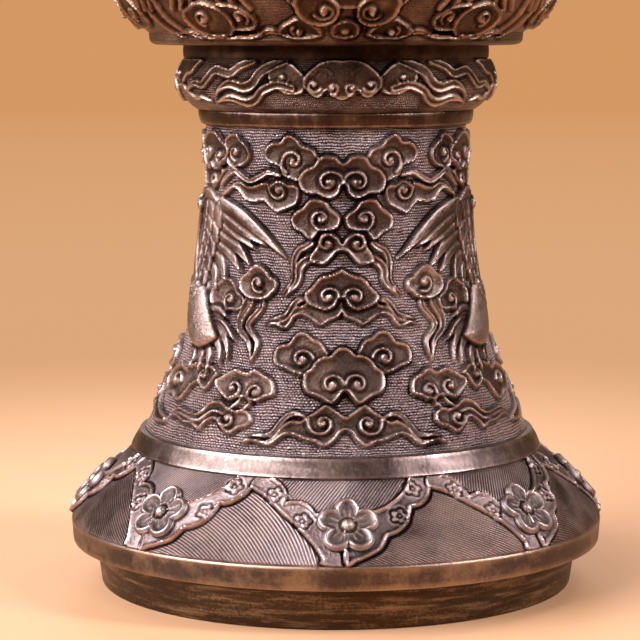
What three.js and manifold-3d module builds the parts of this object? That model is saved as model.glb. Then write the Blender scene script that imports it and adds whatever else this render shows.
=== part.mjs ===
// A free-standing bronze flower vase of the tall beaker form: a flanged foot, a flared column, a round
// middle bulb between two moulded collars, and a trumpet neck with a wide mouth. It is cast in sections.
// Each section has a spigot that fits into the next one, plain bands cover the joints, and the plum
// blossoms on the skirt and under the mouth are separate castings set on the surface.
import * as THREE from "three";
import { mergeVertices } from "three/addons/utils/BufferGeometryUtils.js";
import Module from "manifold-3d";

const wasm = await Module();
wasm.setup();
const { CrossSection, Manifold, Mesh: SolidMesh } = wasm;

// Driving dimensions, in millimetres. Heights run up the axis, +Z.
const facets = 32; // sides of every turned casting
const wall = 3; // metal of the hollow castings
const gap = 0.3; // clearance round a spigot and under a blossom, which the solder fills
const lap = 4; // how far a spigot reaches into its neighbour
const plate = 2.5; // thickness of both flat discs

const footRadius = 68; // ring that the vase stands on
const footHeight = 12;
const footTaper = 1.4; // how much narrower that ring is at the table
const footLand = 6.3; // width of the face that stands on the table
const spigotInset = 2; // from the ring's outside in to its spigot
const plateRecess = 6; // from the table up to the base plate

const flangeOverhang = 7; // how far the flange stands out past that ring
const flangeEdge = 6.5; // height of the flange's plain edge
const skirtRise = 19.5; // from the flange's edge up to the band

const bandHeight = 5.3; // plain band between skirt and column
const bandLean = 2.3; // how much the band narrows towards the column
const bandSeat = 3.2; // how far the skirt's or mouth's narrow end stands out past the tube
const bandProud = 0.6; // how far the band's edge stands out past that end
const bandBevel = 0.4;

const tubeRadius = 36.4; // narrow end of the column and of the neck
const columnWide = 54.2;
const columnHeight = 85.6;
const neckWide = 58.4;
const neckHeight = 100;
const flareShare = 0.72; // share of a tube's height that flares
const flarePower = 1.8; // above 1, the flare opens faster towards its wide end

const ringHeight = 4.1; // plain ring between a tube and its collar
const ringProud = 1.5;
const ringBevel = 0.6;

const collarHeight = 17.7;
const collarNeck = 2.6; // how far the collar's narrow edge stands out past the tube
const collarRoll = 44; // widest radius of the rounded roll
const collarRollHeight = 8.5; // from the ring to the widest circle
const collarSeat = 3.8; // how far the plain waist beside the bulb stands out past the bulb's bore
const waistHeight = 4;

const bulbHeight = 57.6;
const bulbRadius = 65.1;
const bulbLip = 52.2; // plain lip at each end of the bulb
const bulbLipHeight = 3.5;
const bulbBore = 38.8; // hole in each end of the bulb

const mouthRadius = 90;
const mouthEdge = 6; // height of the mouth's plain edge
const mouthRise = 26;

const flareShoulder = 0.84; // share of the rise at which skirt and mouth turn into their edge
const edgeBevel = 0.6;

const blossomCount = 8;
const blossomRadius = 8.4;
const blossomThickness = 1.9;
const blossomAt = 0.375; // place on the skirt's curve, as a share from the band to the edge
const petals = 5;
const petalRadius = 0.46; // as a share of the blossom's radius
const stamenRadius = 2.3;
const stamenProud = 0.9;

const reliefGroups = 2; // cloud groups round a tube, each with a crane on both sides
const reliefThickness = 1.3; // cranes and clouds stand out this far from the ground
const reliefRoot = 0.8; // how deep their solids reach into the casting
const craneAngle = 55; // degrees from the middle of the clouds to a crane
const craneBody = { across: 6, along: 13, proud: 3.4 }; // half width, half length, height
const craneBodyAt = { across: 9, up: 34.5, tilt: -50 }; // tilt in degrees, from upright

// How finely the curves are divided.
const curveSteps = 6;
const reliefSteps = 3;
const bulbSteps = 10;
const hollowSteps = 6;
const petalSides = 6;
const domeSides = 8;
const bodySides = 12;
const cloudSides = 5;
const mergeWithin = 0.02; // corners closer than this become one

// Heights that follow from the stack.
const bandZ = footHeight + flangeEdge + skirtRise;
const columnZ = bandZ + bandHeight;
const ringZ = columnZ + columnHeight;
const collarZ = ringZ + ringHeight;
const bulbZ = collarZ + collarHeight;
const upperCollarZ = bulbZ + bulbHeight;
const upperRingZ = upperCollarZ + collarHeight;
const neckZ = upperRingZ + ringHeight;
const mouthBandZ = neckZ + neckHeight;
const mouthZ = mouthBandZ + bandHeight;

// Radii that follow from each other.
const flangeRadius = footRadius + flangeOverhang;
const skirtNarrow = columnWide + bandSeat;
const mouthNarrow = neckWide + bandSeat;
const collarWaist = bulbBore + collarSeat;
const footSpigot = footRadius - spigotInset;
const plateSeat = footSpigot - wall;
const tubeBore = tubeRadius - wall;
const narrowSpigot = tubeBore - gap;
const wideSpigot = (wide) => wide - (wall + gap) / 2;
const bulbSpigot = bulbBore - gap;
const floorSeat = bulbSpigot - wall;

const castBronze = { color: 0x74594e, roughness: 0.42, metalness: 1 };
const wornBronze = { color: 0x8a6a4c, roughness: 0.34, metalness: 1 };
const footBronze = { color: 0x5e4028, roughness: 0.48, metalness: 1 };
const hiddenBronze = { color: 0x4a3a2c, roughness: 0.65, metalness: 1 };

const vase = new THREE.Group();

function place(name, solid, finish) {
  const { vertProperties, triVerts } = solid.getMesh();
  const geometry = new THREE.BufferGeometry();
  geometry.setAttribute("position", new THREE.BufferAttribute(vertProperties, 3));
  geometry.setIndex(new THREE.BufferAttribute(triVerts, 1));
  const mesh = new THREE.Mesh(geometry, new THREE.MeshStandardMaterial(finish));
  mesh.name = name;
  vase.add(mesh);
}

function solidOf(geometry) {
  geometry.deleteAttribute("normal");
  geometry.deleteAttribute("uv");
  const welded = mergeVertices(geometry);
  return new Manifold(
    new SolidMesh({
      numProp: 3,
      vertProperties: welded.attributes.position.array,
      triVerts: new Uint32Array(welded.index.array),
    }),
  );
}

// Turns a closed loop of [radius, height] points about the axis. The loop runs up the outside and down
// the inside. It is drawn from a joint at height z, either upwards or hanging down from it.
function turned(loop, z = 0, hanging = false) {
  const laid = loop.map(([radius, height]) => new THREE.Vector2(radius, hanging ? z - height : z + height));
  if (hanging) {
    laid.reverse();
  }
  laid.push(laid[0]);
  return solidOf(new THREE.LatheGeometry(laid, facets).rotateX(Math.PI / 2));
}

function disc(radius, bottom) {
  const cylinder = new THREE.CylinderGeometry(radius, radius, plate, facets);
  return solidOf(cylinder.rotateX(Math.PI / 2).translate(0, 0, bottom + plate / 2));
}

// Moves each point of a profile straight out from it by a distance.
function grown(profile, distance) {
  return profile.map(([radius, height], i) => {
    const [r0, h0] = profile[Math.max(i - 1, 0)];
    const [r1, h1] = profile[Math.min(i + 1, profile.length - 1)];
    const length = Math.hypot(r1 - r0, h1 - h0);
    return [radius + (distance * (h1 - h0)) / length, height - (distance * (r1 - r0)) / length];
  });
}

// A layer over a profile, between two distances from it.
function layer(profile, near, far, z, hanging) {
  return turned([...grown(profile, far), ...grown(profile, near).reverse()], z, hanging);
}

// Ring that the vase stands on, with a ledge for the base plate and a spigot for the skirt.
function footRing() {
  const table = footRadius - footTaper;
  return turned([
    [table, 0],
    [footRadius, footTaper],
    [footRadius, footHeight],
    [footSpigot, footHeight],
    [footSpigot, footHeight + lap],
    [plateSeat, footHeight + lap],
    [plateSeat, plateRecess],
    [table - footLand, plateRecess],
    [table - footLand, 0],
  ]);
}

// The curve of the skirt or mouth, from its band out to its edge.
function flareCurve(narrow, rim, rise) {
  return new THREE.QuadraticBezierCurve(
    new THREE.Vector2(narrow, 0),
    new THREE.Vector2(rim, flareShoulder * rise),
    new THREE.Vector2(rim, rise),
  );
}

function curvePoints(curve, steps) {
  return curve.getPoints(steps).map((point) => [point.x, point.y]);
}

// Skirt or mouth, drawn from its band. Its bore takes the tube's spigot.
function flare(curve, edge, tubeWide, farInside, farDepth) {
  const outside = curvePoints(curve, curveSteps);
  const [rim, rise] = outside[curveSteps];
  const bore = wideSpigot(tubeWide) + gap;
  const far = rise + edge;
  const hollow = new THREE.QuadraticBezierCurve(
    new THREE.Vector2(farInside, far - farDepth),
    new THREE.Vector2(rim - 2 * wall, flareShoulder * rise - wall),
    new THREE.Vector2(bore, lap + gap),
  );
  const end = farDepth > 0 ? [[farInside, far]] : [];
  return [
    ...outside,
    [rim, far - edgeBevel],
    [rim - edgeBevel, far],
    ...end,
    ...curvePoints(hollow, curveSteps - 1),
    [bore, 0],
  ];
}

// Outside of a tube, from its wide end: a flare that runs out into a straight tube.
function tubeOutside(wide, height, steps) {
  const flaring = Array.from({ length: steps + 1 }, (_, i) => {
    const share = 1 - i / steps;
    return [tubeRadius + (wide - tubeRadius) * share ** flarePower, flareShare * height * (1 - share)];
  });
  return [...flaring, [tubeRadius, height]];
}

// Column or neck, drawn from the top of its band, with a register inside the band and a spigot below.
function tube(wide, height) {
  const outside = tubeOutside(wide, height, curveSteps);
  const inside = grown(outside, -wall).filter((_, i) => i % 2 === 0 && i > 0);
  return [
    [wideSpigot(wide), -bandHeight - lap],
    [wideSpigot(wide), -bandHeight],
    [wide, -bandHeight],
    ...outside,
    [tubeBore, height],
    ...inside.reverse(),
    [wide - wall, -bandHeight],
    [wide - wall, -bandHeight - lap],
  ];
}

// Plain band over the wide end of a tube, drawn from the skirt or mouth towards the tube.
function band(tubeWide, flareNarrow) {
  const bore = tubeWide + gap;
  const edge = flareNarrow + bandProud;
  return [
    [edge, 0],
    [edge - bandLean, bandHeight - bandBevel],
    [edge - bandLean - bandBevel, bandHeight],
    [bore, bandHeight],
    [bore, 0],
  ];
}

// Plain ring between a tube and its collar. The collar's spigot passes through it.
function jointRing() {
  const proud = tubeRadius + ringProud;
  return [
    [proud - ringBevel, 0],
    [proud, ringBevel],
    [proud, ringHeight - ringBevel],
    [proud - ringBevel, ringHeight],
    [tubeBore, ringHeight],
    [tubeBore, 0],
  ];
}

// Collar, drawn from its ring towards the bulb. The lower one has a ledge for the vessel's floor.
const ledgeHeight = collarHeight - waistHeight + gap;
function collar(withLedge) {
  const narrow = tubeRadius + collarNeck;
  const waist = collarHeight - waistHeight;
  const roll = new THREE.SplineCurve([
    new THREE.Vector2(narrow, 0),
    new THREE.Vector2((narrow + collarRoll) / 2 + ringBevel, collarRollHeight / 3),
    new THREE.Vector2(collarRoll, collarRollHeight),
    new THREE.Vector2(collarWaist - ringBevel, waist),
  ]);
  const slope = floorSeat - (narrowSpigot - wall);
  const ledge = [
    [floorSeat, ledgeHeight],
    [floorSeat - plate, ledgeHeight],
    [floorSeat - plate, ringBevel + slope - plate],
  ];
  return [
    [narrowSpigot, -ringHeight - lap],
    [narrowSpigot, 0],
    ...curvePoints(roll, curveSteps),
    [collarWaist, waist + ringBevel],
    [collarWaist, collarHeight],
    [bulbSpigot, collarHeight],
    [bulbSpigot, collarHeight + lap],
    [floorSeat, collarHeight + lap],
    ...(withLedge ? ledge : [[floorSeat, ringBevel + slope]]),
    [narrowSpigot - wall, ringBevel],
    [narrowSpigot - wall, -ringHeight - lap],
  ];
}

// Middle bulb: one round arc between two plain lips, hollow, with a hole in each end.
const bulbMiddle = bulbZ + bulbHeight / 2;
const bulbArcReach = bulbHeight / 2 - bulbLipHeight;
const bulbDepth = bulbRadius - bulbLip;
const bulbArcRadius = (bulbArcReach ** 2 + bulbDepth ** 2) / (2 * bulbDepth);

function bulbArc(radius, reach, steps) {
  const half = Math.asin(reach / radius);
  return Array.from({ length: steps + 1 }, (_, i) => {
    const turn = half * ((2 * i) / steps - 1);
    return [bulbRadius - bulbArcRadius + radius * Math.cos(turn), radius * Math.sin(turn)];
  });
}

function bulb() {
  const end = bulbHeight / 2;
  return [
    [bulbLip, -end],
    ...bulbArc(bulbArcRadius, bulbArcReach, bulbSteps),
    [bulbLip, end],
    [bulbBore, end],
    [bulbBore, end - wall],
    ...bulbArc(bulbArcRadius - wall, end - wall, hollowSteps).reverse(),
    [bulbBore, wall - end],
  ];
}

// An upright frame on the surface, at an angle from the front towards +X. Its z axis points straight out.
function frameAt(angle, radius, z, outward, upward) {
  const across = new THREE.Vector3(Math.cos(angle), Math.sin(angle), 0);
  const out = new THREE.Vector3(Math.sin(angle), -Math.cos(angle), 0);
  const normal = out.clone().multiplyScalar(outward).setZ(upward).normalize();
  const matrix = new THREE.Matrix4().makeBasis(across, normal.clone().cross(across), normal);
  return matrix.setPosition(out.multiplyScalar(radius).setZ(z)).elements;
}

function circleAt(radius, x, y, sides) {
  return CrossSection.circle(radius, sides).translate([x, y]);
}

// A plum blossom on the skirt or the mouth: five round petals and a raised centre.
function blossom(curve, angle, z, hanging) {
  const point = curve.getPoint(blossomAt);
  const slope = curve.getTangent(blossomAt);
  const up = hanging ? slope.x : -slope.x;
  const frame = frameAt(angle, point.x, hanging ? z - point.y : z + point.y, slope.y, up);
  const petalAt = blossomRadius * (1 - petalRadius);
  const petalShapes = Array.from({ length: petals }, (_, i) => {
    const turn = Math.PI / 2 + (2 * Math.PI * i) / petals;
    const [x, y] = [petalAt * Math.cos(turn), petalAt * Math.sin(turn)];
    return circleAt(blossomRadius * petalRadius, x, y, petalSides);
  });
  const outline = CrossSection.union([...petalShapes, circleAt(petalAt, 0, 0, petals)]);
  const cutter = outline.extrude(2 * blossomRadius, 0, 0, [1, 1], true).transform(frame);
  const surface = layer(curvePoints(curve, curveSteps), gap, blossomThickness, z, hanging);
  const domeHeight = blossomThickness / 2 + stamenProud;
  const dome = Manifold.cylinder(domeHeight, stamenRadius, stamenRadius / 2, domeSides);
  const centre = dome.translate([0, 0, blossomThickness / 2]).transform(frame);
  return surface.intersect(cutter).add(centre);
}

// Cloud outline: a tall lobe between two scrolls, about as wide as twice its size. Each lobe has its
// radius, place across and height as shares of that size.
function cloudShape([size, x, y]) {
  const lobes = [
    [0.42, 0, 0.28],
    [0.44, 0.56, -0.06],
    [0.44, -0.56, -0.06],
  ];
  return lobes.map(([radius, across, up]) =>
    circleAt(radius * size, x + across * size, y + up * size, cloudSides),
  );
}

// The middle clouds and those that repeat on both sides: size, place across from the middle of the
// group, and height above the bottom of the tube.
const middleClouds = [
  [12, 0, 73],
  [10, 0, 41.5],
  [11.5, 0, 19.5],
];
const sideClouds = [
  [7.2, 6.7, 61],
  [7.5, 14.2, 77.4],
  [6.8, 17.4, 67.6],
  [8, 11.6, 26.5],
  [8.5, 26.5, 17.5],
];

// Clouds round a crane, across from the crane's own middle.
const craneClouds = [
  [9, 2.5, 78],
  [10.5, 8, 16],
];

// Clouds on each half of the bulb: size and angle in degrees from the middle of a group. All lie at
// one slant above or below the bulb's middle.
const bulbClouds = [
  [14, 0],
  [12.5, 33.5],
  [12.5, -33.5],
  [13, 90],
];
const bulbCloudSlant = 37;

// Outline of a crane in flight, from its wing tip along the wing to its head, and back along its breast
// and tail: across from the crane's own middle, and height above the bottom of the tube.
const crane = [
  [-23, 51.5],
  [-12, 60],
  [-3, 64.5],
  [12, 62],
  [16.5, 62.5],
  [20, 68],
  [20, 60],
  [18.5, 52],
  [20, 42],
  [14, 27.5],
  [5, 24.5],
  [-2, 28],
  [-8, 22],
  [-8, 28],
  [-12, 25],
  [-6, 33],
  [3, 40],
  [-2, 46],
  [-6, 48],
  [-4, 51],
  [-13, 52],
  [-12, 55],
];

// Radius of a profile at a height.
function reach(profile, height) {
  const i = profile.findIndex(([, top], n) => n > 0 && top >= height);
  const [[r0, h0], [r1, h1]] = [profile[i - 1], profile[i]];
  return THREE.MathUtils.mapLinear(height, h0, h1, r0, r1);
}

// Turns an outline over to the other side of its middle.
function flipped(outline, side) {
  const over = outline.map(([x, y]) => [side * x, y]);
  return side > 0 ? over.reverse() : over;
}

// Adds the cast cranes and clouds to a tube. They stand out from its ground by an even thickness.
function withRelief(section, wide, height, z, hanging) {
  const outside = tubeOutside(wide, height, reliefSteps);
  const surface = layer(outside, -reliefRoot, reliefThickness, z, hanging);
  const deep = layer(outside, -reliefRoot, 2 * craneBody.proud, z, hanging);
  const bottom = hanging ? z - height : z;
  const otherSide = sideClouds.map(([size, x, y]) => [size, -x, y]);
  const clouds = [...middleClouds, ...sideClouds, ...otherSide].flatMap(cloudShape);
  const sky = CrossSection.union(clouds).extrude(2 * wide);
  const bodyRadius = reach(outside, hanging ? height - craneBodyAt.up : craneBodyAt.up);
  const outlines = [];
  const bodies = [];
  for (let i = 0; i < reliefGroups; i += 1) {
    const middle = (2 * Math.PI * i) / reliefGroups;
    outlines.push(sky.transform(frameAt(middle, 0, bottom, 1, 0)));
    for (const side of [-1, 1]) {
      const frame = frameAt(middle + side * THREE.MathUtils.degToRad(craneAngle), 0, bottom, 1, 0);
      const around = craneClouds.map(([size, x, y]) => [size, side * x, y]).flatMap(cloudShape);
      const bird = CrossSection.union([new CrossSection([flipped(crane, side)]), ...around]);
      const body = Manifold.sphere(1, bodySides)
        .scale([craneBody.across, craneBody.along, craneBody.proud])
        .rotate([0, 0, side * craneBodyAt.tilt])
        .translate([side * craneBodyAt.across, craneBodyAt.up, bodyRadius]);
      outlines.push(bird.extrude(2 * wide).transform(frame));
      bodies.push(body.transform(frame));
    }
  }
  const flat = surface.intersect(Manifold.union(outlines));
  const round = deep.intersect(Manifold.union(bodies));
  return Manifold.union([section, flat, round]).simplify(mergeWithin);
}

// Adds the cast clouds to the bulb, above and below its middle.
function withClouds(section) {
  const outside = bulbArc(bulbArcRadius, bulbArcReach, bulbSteps);
  const surface = layer(outside, -reliefRoot, reliefThickness, bulbMiddle, false);
  const outlines = [];
  for (let i = 0; i < reliefGroups; i += 1) {
    for (const [size, degrees] of bulbClouds) {
      const angle = (2 * Math.PI * i) / reliefGroups + THREE.MathUtils.degToRad(degrees);
      for (const slant of [-bulbCloudSlant, bulbCloudSlant]) {
        const tilt = THREE.MathUtils.degToRad(slant);
        const centre = bulbRadius - bulbArcRadius;
        const frame = frameAt(angle, centre, bulbMiddle, Math.cos(tilt), Math.sin(tilt));
        const cloud = CrossSection.union(cloudShape([size, 0, 0])).extrude(bulbRadius);
        outlines.push(cloud.transform(frame));
      }
    }
  }
  return Manifold.union([section, surface.intersect(Manifold.union(outlines))]).simplify(mergeWithin);
}

const skirtCurve = flareCurve(skirtNarrow, flangeRadius, skirtRise);
const mouthCurve = flareCurve(mouthNarrow, mouthRadius, mouthRise);
const column = turned(tube(columnWide, columnHeight), columnZ);
const neck = turned(tube(neckWide, neckHeight), mouthBandZ, true);

place("foot_ring", footRing(), footBronze);
place("base_plate", disc(plateSeat - gap, plateRecess), hiddenBronze);
const skirt = flare(skirtCurve, flangeEdge, columnWide, footSpigot + gap, lap + gap);
place("foot_skirt", turned(skirt, bandZ, true), castBronze);
place("skirt_band", turned(band(columnWide, skirtNarrow), bandZ), wornBronze);
place("column", withRelief(column, columnWide, columnHeight, columnZ, false), castBronze);
place("column_ring", turned(jointRing(), ringZ), wornBronze);
place("lower_collar", turned(collar(true), collarZ), castBronze);
place("vessel_floor", disc(floorSeat - gap, collarZ + ledgeHeight), hiddenBronze);
place("bulb", withClouds(turned(bulb(), bulbMiddle)), castBronze);
place("upper_collar", turned(collar(false), upperRingZ, true), castBronze);
place("neck_ring", turned(jointRing(), upperRingZ), wornBronze);
place("neck", withRelief(neck, neckWide, neckHeight, mouthBandZ, true), castBronze);
place("mouth_band", turned(band(neckWide, mouthNarrow), mouthZ, true), wornBronze);
const mouth = flare(mouthCurve, mouthEdge, neckWide, mouthRadius - wall, 0);
place("mouth_flare", turned(mouth, mouthZ), castBronze);

for (let i = 0; i < blossomCount; i += 1) {
  const angle = (2 * Math.PI * i) / blossomCount;
  place(`skirt_blossom_${i + 1}`, blossom(skirtCurve, angle, bandZ, true), wornBronze);
  place(`mouth_blossom_${i + 1}`, blossom(mouthCurve, angle, mouthZ, false), wornBronze);
}

export default vase;
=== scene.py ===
"""A cast bronze flower vase, dressed over its CAD frame: low relief of clouds and cranes, patina and studio light."""
import math
import bpy
import numpy as np
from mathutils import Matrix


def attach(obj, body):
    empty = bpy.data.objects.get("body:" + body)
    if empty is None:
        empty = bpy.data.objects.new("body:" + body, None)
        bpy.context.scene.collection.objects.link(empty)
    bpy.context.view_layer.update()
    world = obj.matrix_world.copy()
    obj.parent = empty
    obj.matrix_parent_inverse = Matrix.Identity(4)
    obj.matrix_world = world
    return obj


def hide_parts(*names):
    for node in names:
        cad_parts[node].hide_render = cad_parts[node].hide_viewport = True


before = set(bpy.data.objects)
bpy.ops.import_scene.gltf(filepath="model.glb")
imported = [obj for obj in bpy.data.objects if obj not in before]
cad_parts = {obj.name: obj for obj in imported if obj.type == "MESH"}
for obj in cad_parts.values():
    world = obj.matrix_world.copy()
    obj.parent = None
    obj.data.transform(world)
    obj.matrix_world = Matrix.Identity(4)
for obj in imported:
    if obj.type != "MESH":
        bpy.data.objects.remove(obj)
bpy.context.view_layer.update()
fine = 1.0
MM = 0.001

# ---------------------------------------------------------------- sizes, in mm, the same as the CAD frame's

wall = 3.0
tube_radius, flare_share, flare_power = 36.4, 0.72, 1.8
foot_radius, foot_height, foot_taper, foot_land = 68.0, 12.0, 1.4, 6.3
flange_radius, skirt_rise, flare_shoulder = 75.0, 19.5, 0.84
skirt_narrow, mouth_narrow = 57.4, 61.6
band_height, ring_height, collar_height = 5.3, 4.1, 17.7
column_wide, column_height = 54.2, 85.6
neck_wide, neck_height = 58.4, 100.0
mouth_radius, mouth_edge, mouth_rise, mouth_bore = 90.0, 6.0, 26.0, 57.05
band_z, column_z, ring_z, collar_z, bulb_z = 38.0, 43.3, 128.9, 133.0, 150.7
upper_collar_z, upper_ring_z, neck_z, mouth_band_z, mouth_z = 208.3, 226.0, 230.1, 330.1, 335.4
bulb_height, bulb_lip, bulb_lip_height, bulb_centre, bulb_arc = 57.6, 52.2, 3.5, 33.84, 31.26
plate_low, plate_top, plate_radius = 6.0, 8.5, 62.7
floor_low, floor_top, floor_radius = 147.0, 149.5, 35.2


def tube_ground(wide, height, rise):
    """Radius of a flared tube's ground at a height above its wide end."""
    share = np.clip(1 - np.asarray(rise, float) / (flare_share * height), 0, None)
    return tube_radius + (wide - tube_radius) * share ** flare_power


def column_ground(z):
    return tube_ground(column_wide, column_height, np.asarray(z) - column_z)


def neck_ground(z):
    return tube_ground(neck_wide, neck_height, mouth_band_z - np.asarray(z))


def bezier(narrow, rim, rise, n):
    """The hollow curve of a flange or mouth, from its narrow end out to its rim."""
    t = np.linspace(0, 1, n)
    r = narrow * (1 - t) ** 2 + rim * 2 * t * (1 - t) + rim * t ** 2
    z = flare_shoulder * rise * 2 * t * (1 - t) + rise * t ** 2
    return np.stack([r, z], -1)


# ---------------------------------------------------------------- drawing the relief

def smooth(points, closed=False, step=0.5):
    """A soft curve through given points."""
    p = np.array(points, float)
    n = len(p)
    ends = [p[-1:], p, p[:2]] if closed else [2 * p[:1] - p[1:2], p, 2 * p[-1:] - p[-2:-1]]
    q = np.concatenate(ends)
    out = []
    for i in range(n if closed else n - 1):
        a, b, c, d = q[i:i + 4]
        m = max(2, int(np.hypot(*(c - b)) / step) + 1)
        t = np.linspace(0, 1, m, endpoint=False)[:, None]
        out.append(0.5 * (2 * b + (c - a) * t + (2 * a - 5 * b + 4 * c - d) * t ** 2
                          + (3 * b - a - 3 * c + d) * t ** 3))
    if not closed:
        out.append(p[-1:])
    return np.concatenate(out)


def step_up(x):
    """From 0 to 1 without a corner."""
    x = np.clip(x, 0, 1)
    return x * x * (3 - 2 * x)


def bell(x, middle, width):
    return np.exp(-((x - middle) / width) ** 2)


class Relief:
    """Heights in mm above the ground, over degrees round and mm of height, drawn once and then repeated."""

    OUTLINE_MARGIN = 1.5
    PATH_MARGIN = 1.2
    VOLUTE_SHRINK = 0.74

    def __init__(self, x, z, ground, fineness=0.16, by_arc=False, deepest=-0.3):
        """Where by_arc is set, z runs along the slope and not upwards. No seam is cut below deepest."""
        self.x0, self.z0, self.ground, self.by_arc, self.deepest = x[0], z[0], ground, by_arc, deepest
        degree = float(ground((z[0] + z[1]) / 2)) * math.pi / 180
        self.nx = int((x[1] - x[0]) * degree / fineness) + 2
        self.nz = int((z[1] - z[0]) / fineness) + 2
        self.dx, self.dz = (x[1] - x[0]) / (self.nx - 1), (z[1] - z[0]) / (self.nz - 1)
        self.high, self.covered, self.grain = (np.zeros((self.nz, self.nx), np.float32) for _ in range(3))

    def metric(self, z):
        """mm along the surface for a degree round and for a mm of z."""
        if self.by_arc:
            return float(self.ground(z)) * math.pi / 180, 1.0
        r0, r1 = float(self.ground(z - 0.5)), float(self.ground(z + 0.5))
        return (r0 + r1) / 2 * math.pi / 180, math.hypot(1, r1 - r0)

    def window(self, points, margin):
        """The cells within margin mm of the points, their places in mm, and the metric there."""
        p = np.asarray(points, float)
        low, top = p.min(axis=0), p.max(axis=0)
        km = np.array(self.metric((low[1] + top[1]) / 2))
        origin, step = np.array([self.x0, self.z0]), np.array([self.dx, self.dz])
        first = np.maximum(0, ((low - margin / km - origin) / step).astype(int))
        last = np.minimum((self.nx, self.nz), ((top + margin / km - origin) / step).astype(int) + 2)
        (i0, j0), (i1, j1) = first, np.maximum(first, last)
        X, Z = np.meshgrid((self.x0 + np.arange(i0, i1) * self.dx) * km[0],
                           (self.z0 + np.arange(j0, j1) * self.dz) * km[1])
        return (slice(j0, j1), slice(i0, i1)), X, Z, km

    @staticmethod
    def from_line(X, Z, line):
        """Distance to an open line, and how far along it the nearest place is."""
        best, at = np.full(X.shape, 1e9), np.zeros(X.shape)
        seg = np.hypot(*np.diff(line, axis=0).T)
        run = np.concatenate([[0], np.cumsum(seg)]) / max(seg.sum(), 1e-9)
        for (ax, az), (bx, bz), s0, s1 in zip(line[:-1], line[1:], run[:-1], run[1:]):
            ux, uz = bx - ax, bz - az
            t = np.clip(((X - ax) * ux + (Z - az) * uz) / max(ux * ux + uz * uz, 1e-12), 0, 1)
            d = np.hypot(X - ax - t * ux, Z - az - t * uz)
            near = d < best
            best[near] = d[near]
            at[near] = (s0 + t * (s1 - s0))[near]
        return best, at

    @staticmethod
    def inside(X, Z, ring):
        hit = np.zeros(X.shape, bool)
        for (ax, az), (bx, bz) in zip(ring, np.roll(ring, -1, axis=0)):
            if az != bz:
                hit ^= ((az > Z) != (bz > Z)) & (X < (bx - ax) * (Z - az) / (bz - az) + ax)
        return hit

    def within(self, points):
        """The cells round a closed outline, and how far inside it each one lies."""
        ring = smooth(points, True)
        where, X, Z, km = self.window(ring, self.OUTLINE_MARGIN)
        line = ring * km
        d, _ = self.from_line(X, Z, np.concatenate([line, line[:1]]))
        return where, np.where(self.inside(X, Z, line), d, -d)

    def beside(self, path, margin):
        """The cells near a path, how far off it each one lies, and how far along it."""
        where, X, Z, km = self.window(path, margin)
        off, at = self.from_line(X, Z, path * km)
        return where, off, at

    def lay(self, where, depth, top, seam=0.35, grain=0.0, edge=0.5):
        """Lays a form over what is there: depth is the distance inside its edge, and a dark seam runs round it."""
        share = step_up((depth + 0.12) / edge)
        h = self.high[where]
        cut = np.where(depth < 0.1, seam * bell(np.minimum(depth, 0), 0, 0.38), 0)
        under = np.maximum(h - cut, np.minimum(h, self.deepest))
        self.high[where] = under * (1 - share) + top * share
        self.covered[where] = np.maximum(self.covered[where], step_up((depth + 0.45) / 0.4))
        self.grain[where] = self.grain[where] * (1 - share) + grain * share

    def plate(self, points, base=0.0, tall=1.3, rim=0.36, dish=0.75, wide=1.7, grain=0.8, seam=0.35):
        """A cloud head or leaf: a dished plate with a thin rolled rim."""
        where, d = self.within(points)
        top = base + tall + rim * bell(d, 0.44, 0.27) - dish * step_up((d - 0.42) / wide) ** 0.7
        self.lay(where, d, top, grain=grain, seam=seam)

    def dome(self, points, tall, bulge, across):
        """A full, smooth body such as a bird's."""
        where, d = self.within(points)
        lift = np.sqrt(1 - (1 - np.clip(d / across, 0, 1)) ** 2)
        self.lay(where, d, tall + bulge * lift, grain=1.0, seam=0.5)

    def ribbon(self, points, widths, base=0.0, tall=1.0, rim=0.3, dish=0.5, grain=0.2):
        """A scarf of cloud: a band with a rolled edge on each side and a hollow between, tapering along it."""
        where, off, at = self.beside(smooth(points), max(widths) + self.PATH_MARGIN)
        d = np.interp(at, np.linspace(0, 1, len(widths)), widths) - off
        top = base + tall + rim * bell(d, 0.38, 0.26) - dish * step_up((d - 0.34) / 0.8)
        self.lay(where, d, top, grain=grain)

    def feather(self, path, half, base=0.0, tall=1.2, point=0.45, rim=0.28, dome=0.7, blunt=0.58, seam=0.4):
        """A feather from its root to its tip, domed across, with a fine raised edge and a tapering end."""
        where, off, at = self.beside(smooth(path), half + self.PATH_MARGIN)
        end = np.clip((1 - at) / point, 0, 1)
        d = half * end ** blunt * (0.8 + 0.2 * np.sin(np.pi * at.clip(0, 1))) - off
        top = base + tall - dome * (off / half) ** 2 + rim * bell(d, 0.3, 0.2)
        self.lay(where, d, top, grain=0.25, seam=seam, edge=0.35)

    def ridge(self, points, half=0.5, tall=0.5, curve=True):
        """A thin raised line that lies on whatever is below it."""
        path = smooth(points) if curve else np.array(points, float)
        where, off, _ = self.beside(path, half + 1.0)
        lift = tall * np.clip(1 - (off / half) ** 2, 0, 1)
        side = 0.5 * tall * bell(off, 1.45 * half, 0.5 * half)
        self.high[where] += (lift - side * (off > 0.7 * half)).astype(np.float32)

    def ball(self, centre, radius, tall):
        where, X, Z, km = self.window([centre], radius + 1.0)
        d = np.hypot(X - centre[0] * km[0], Z - centre[1] * km[1])
        moat = 0.3 * bell(d - radius, 0.2, 0.25) * (d > radius)
        self.high[where] = self.high[where] - moat + tall * np.sqrt(np.clip(1 - (d / radius) ** 2, 0, 1))

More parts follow.
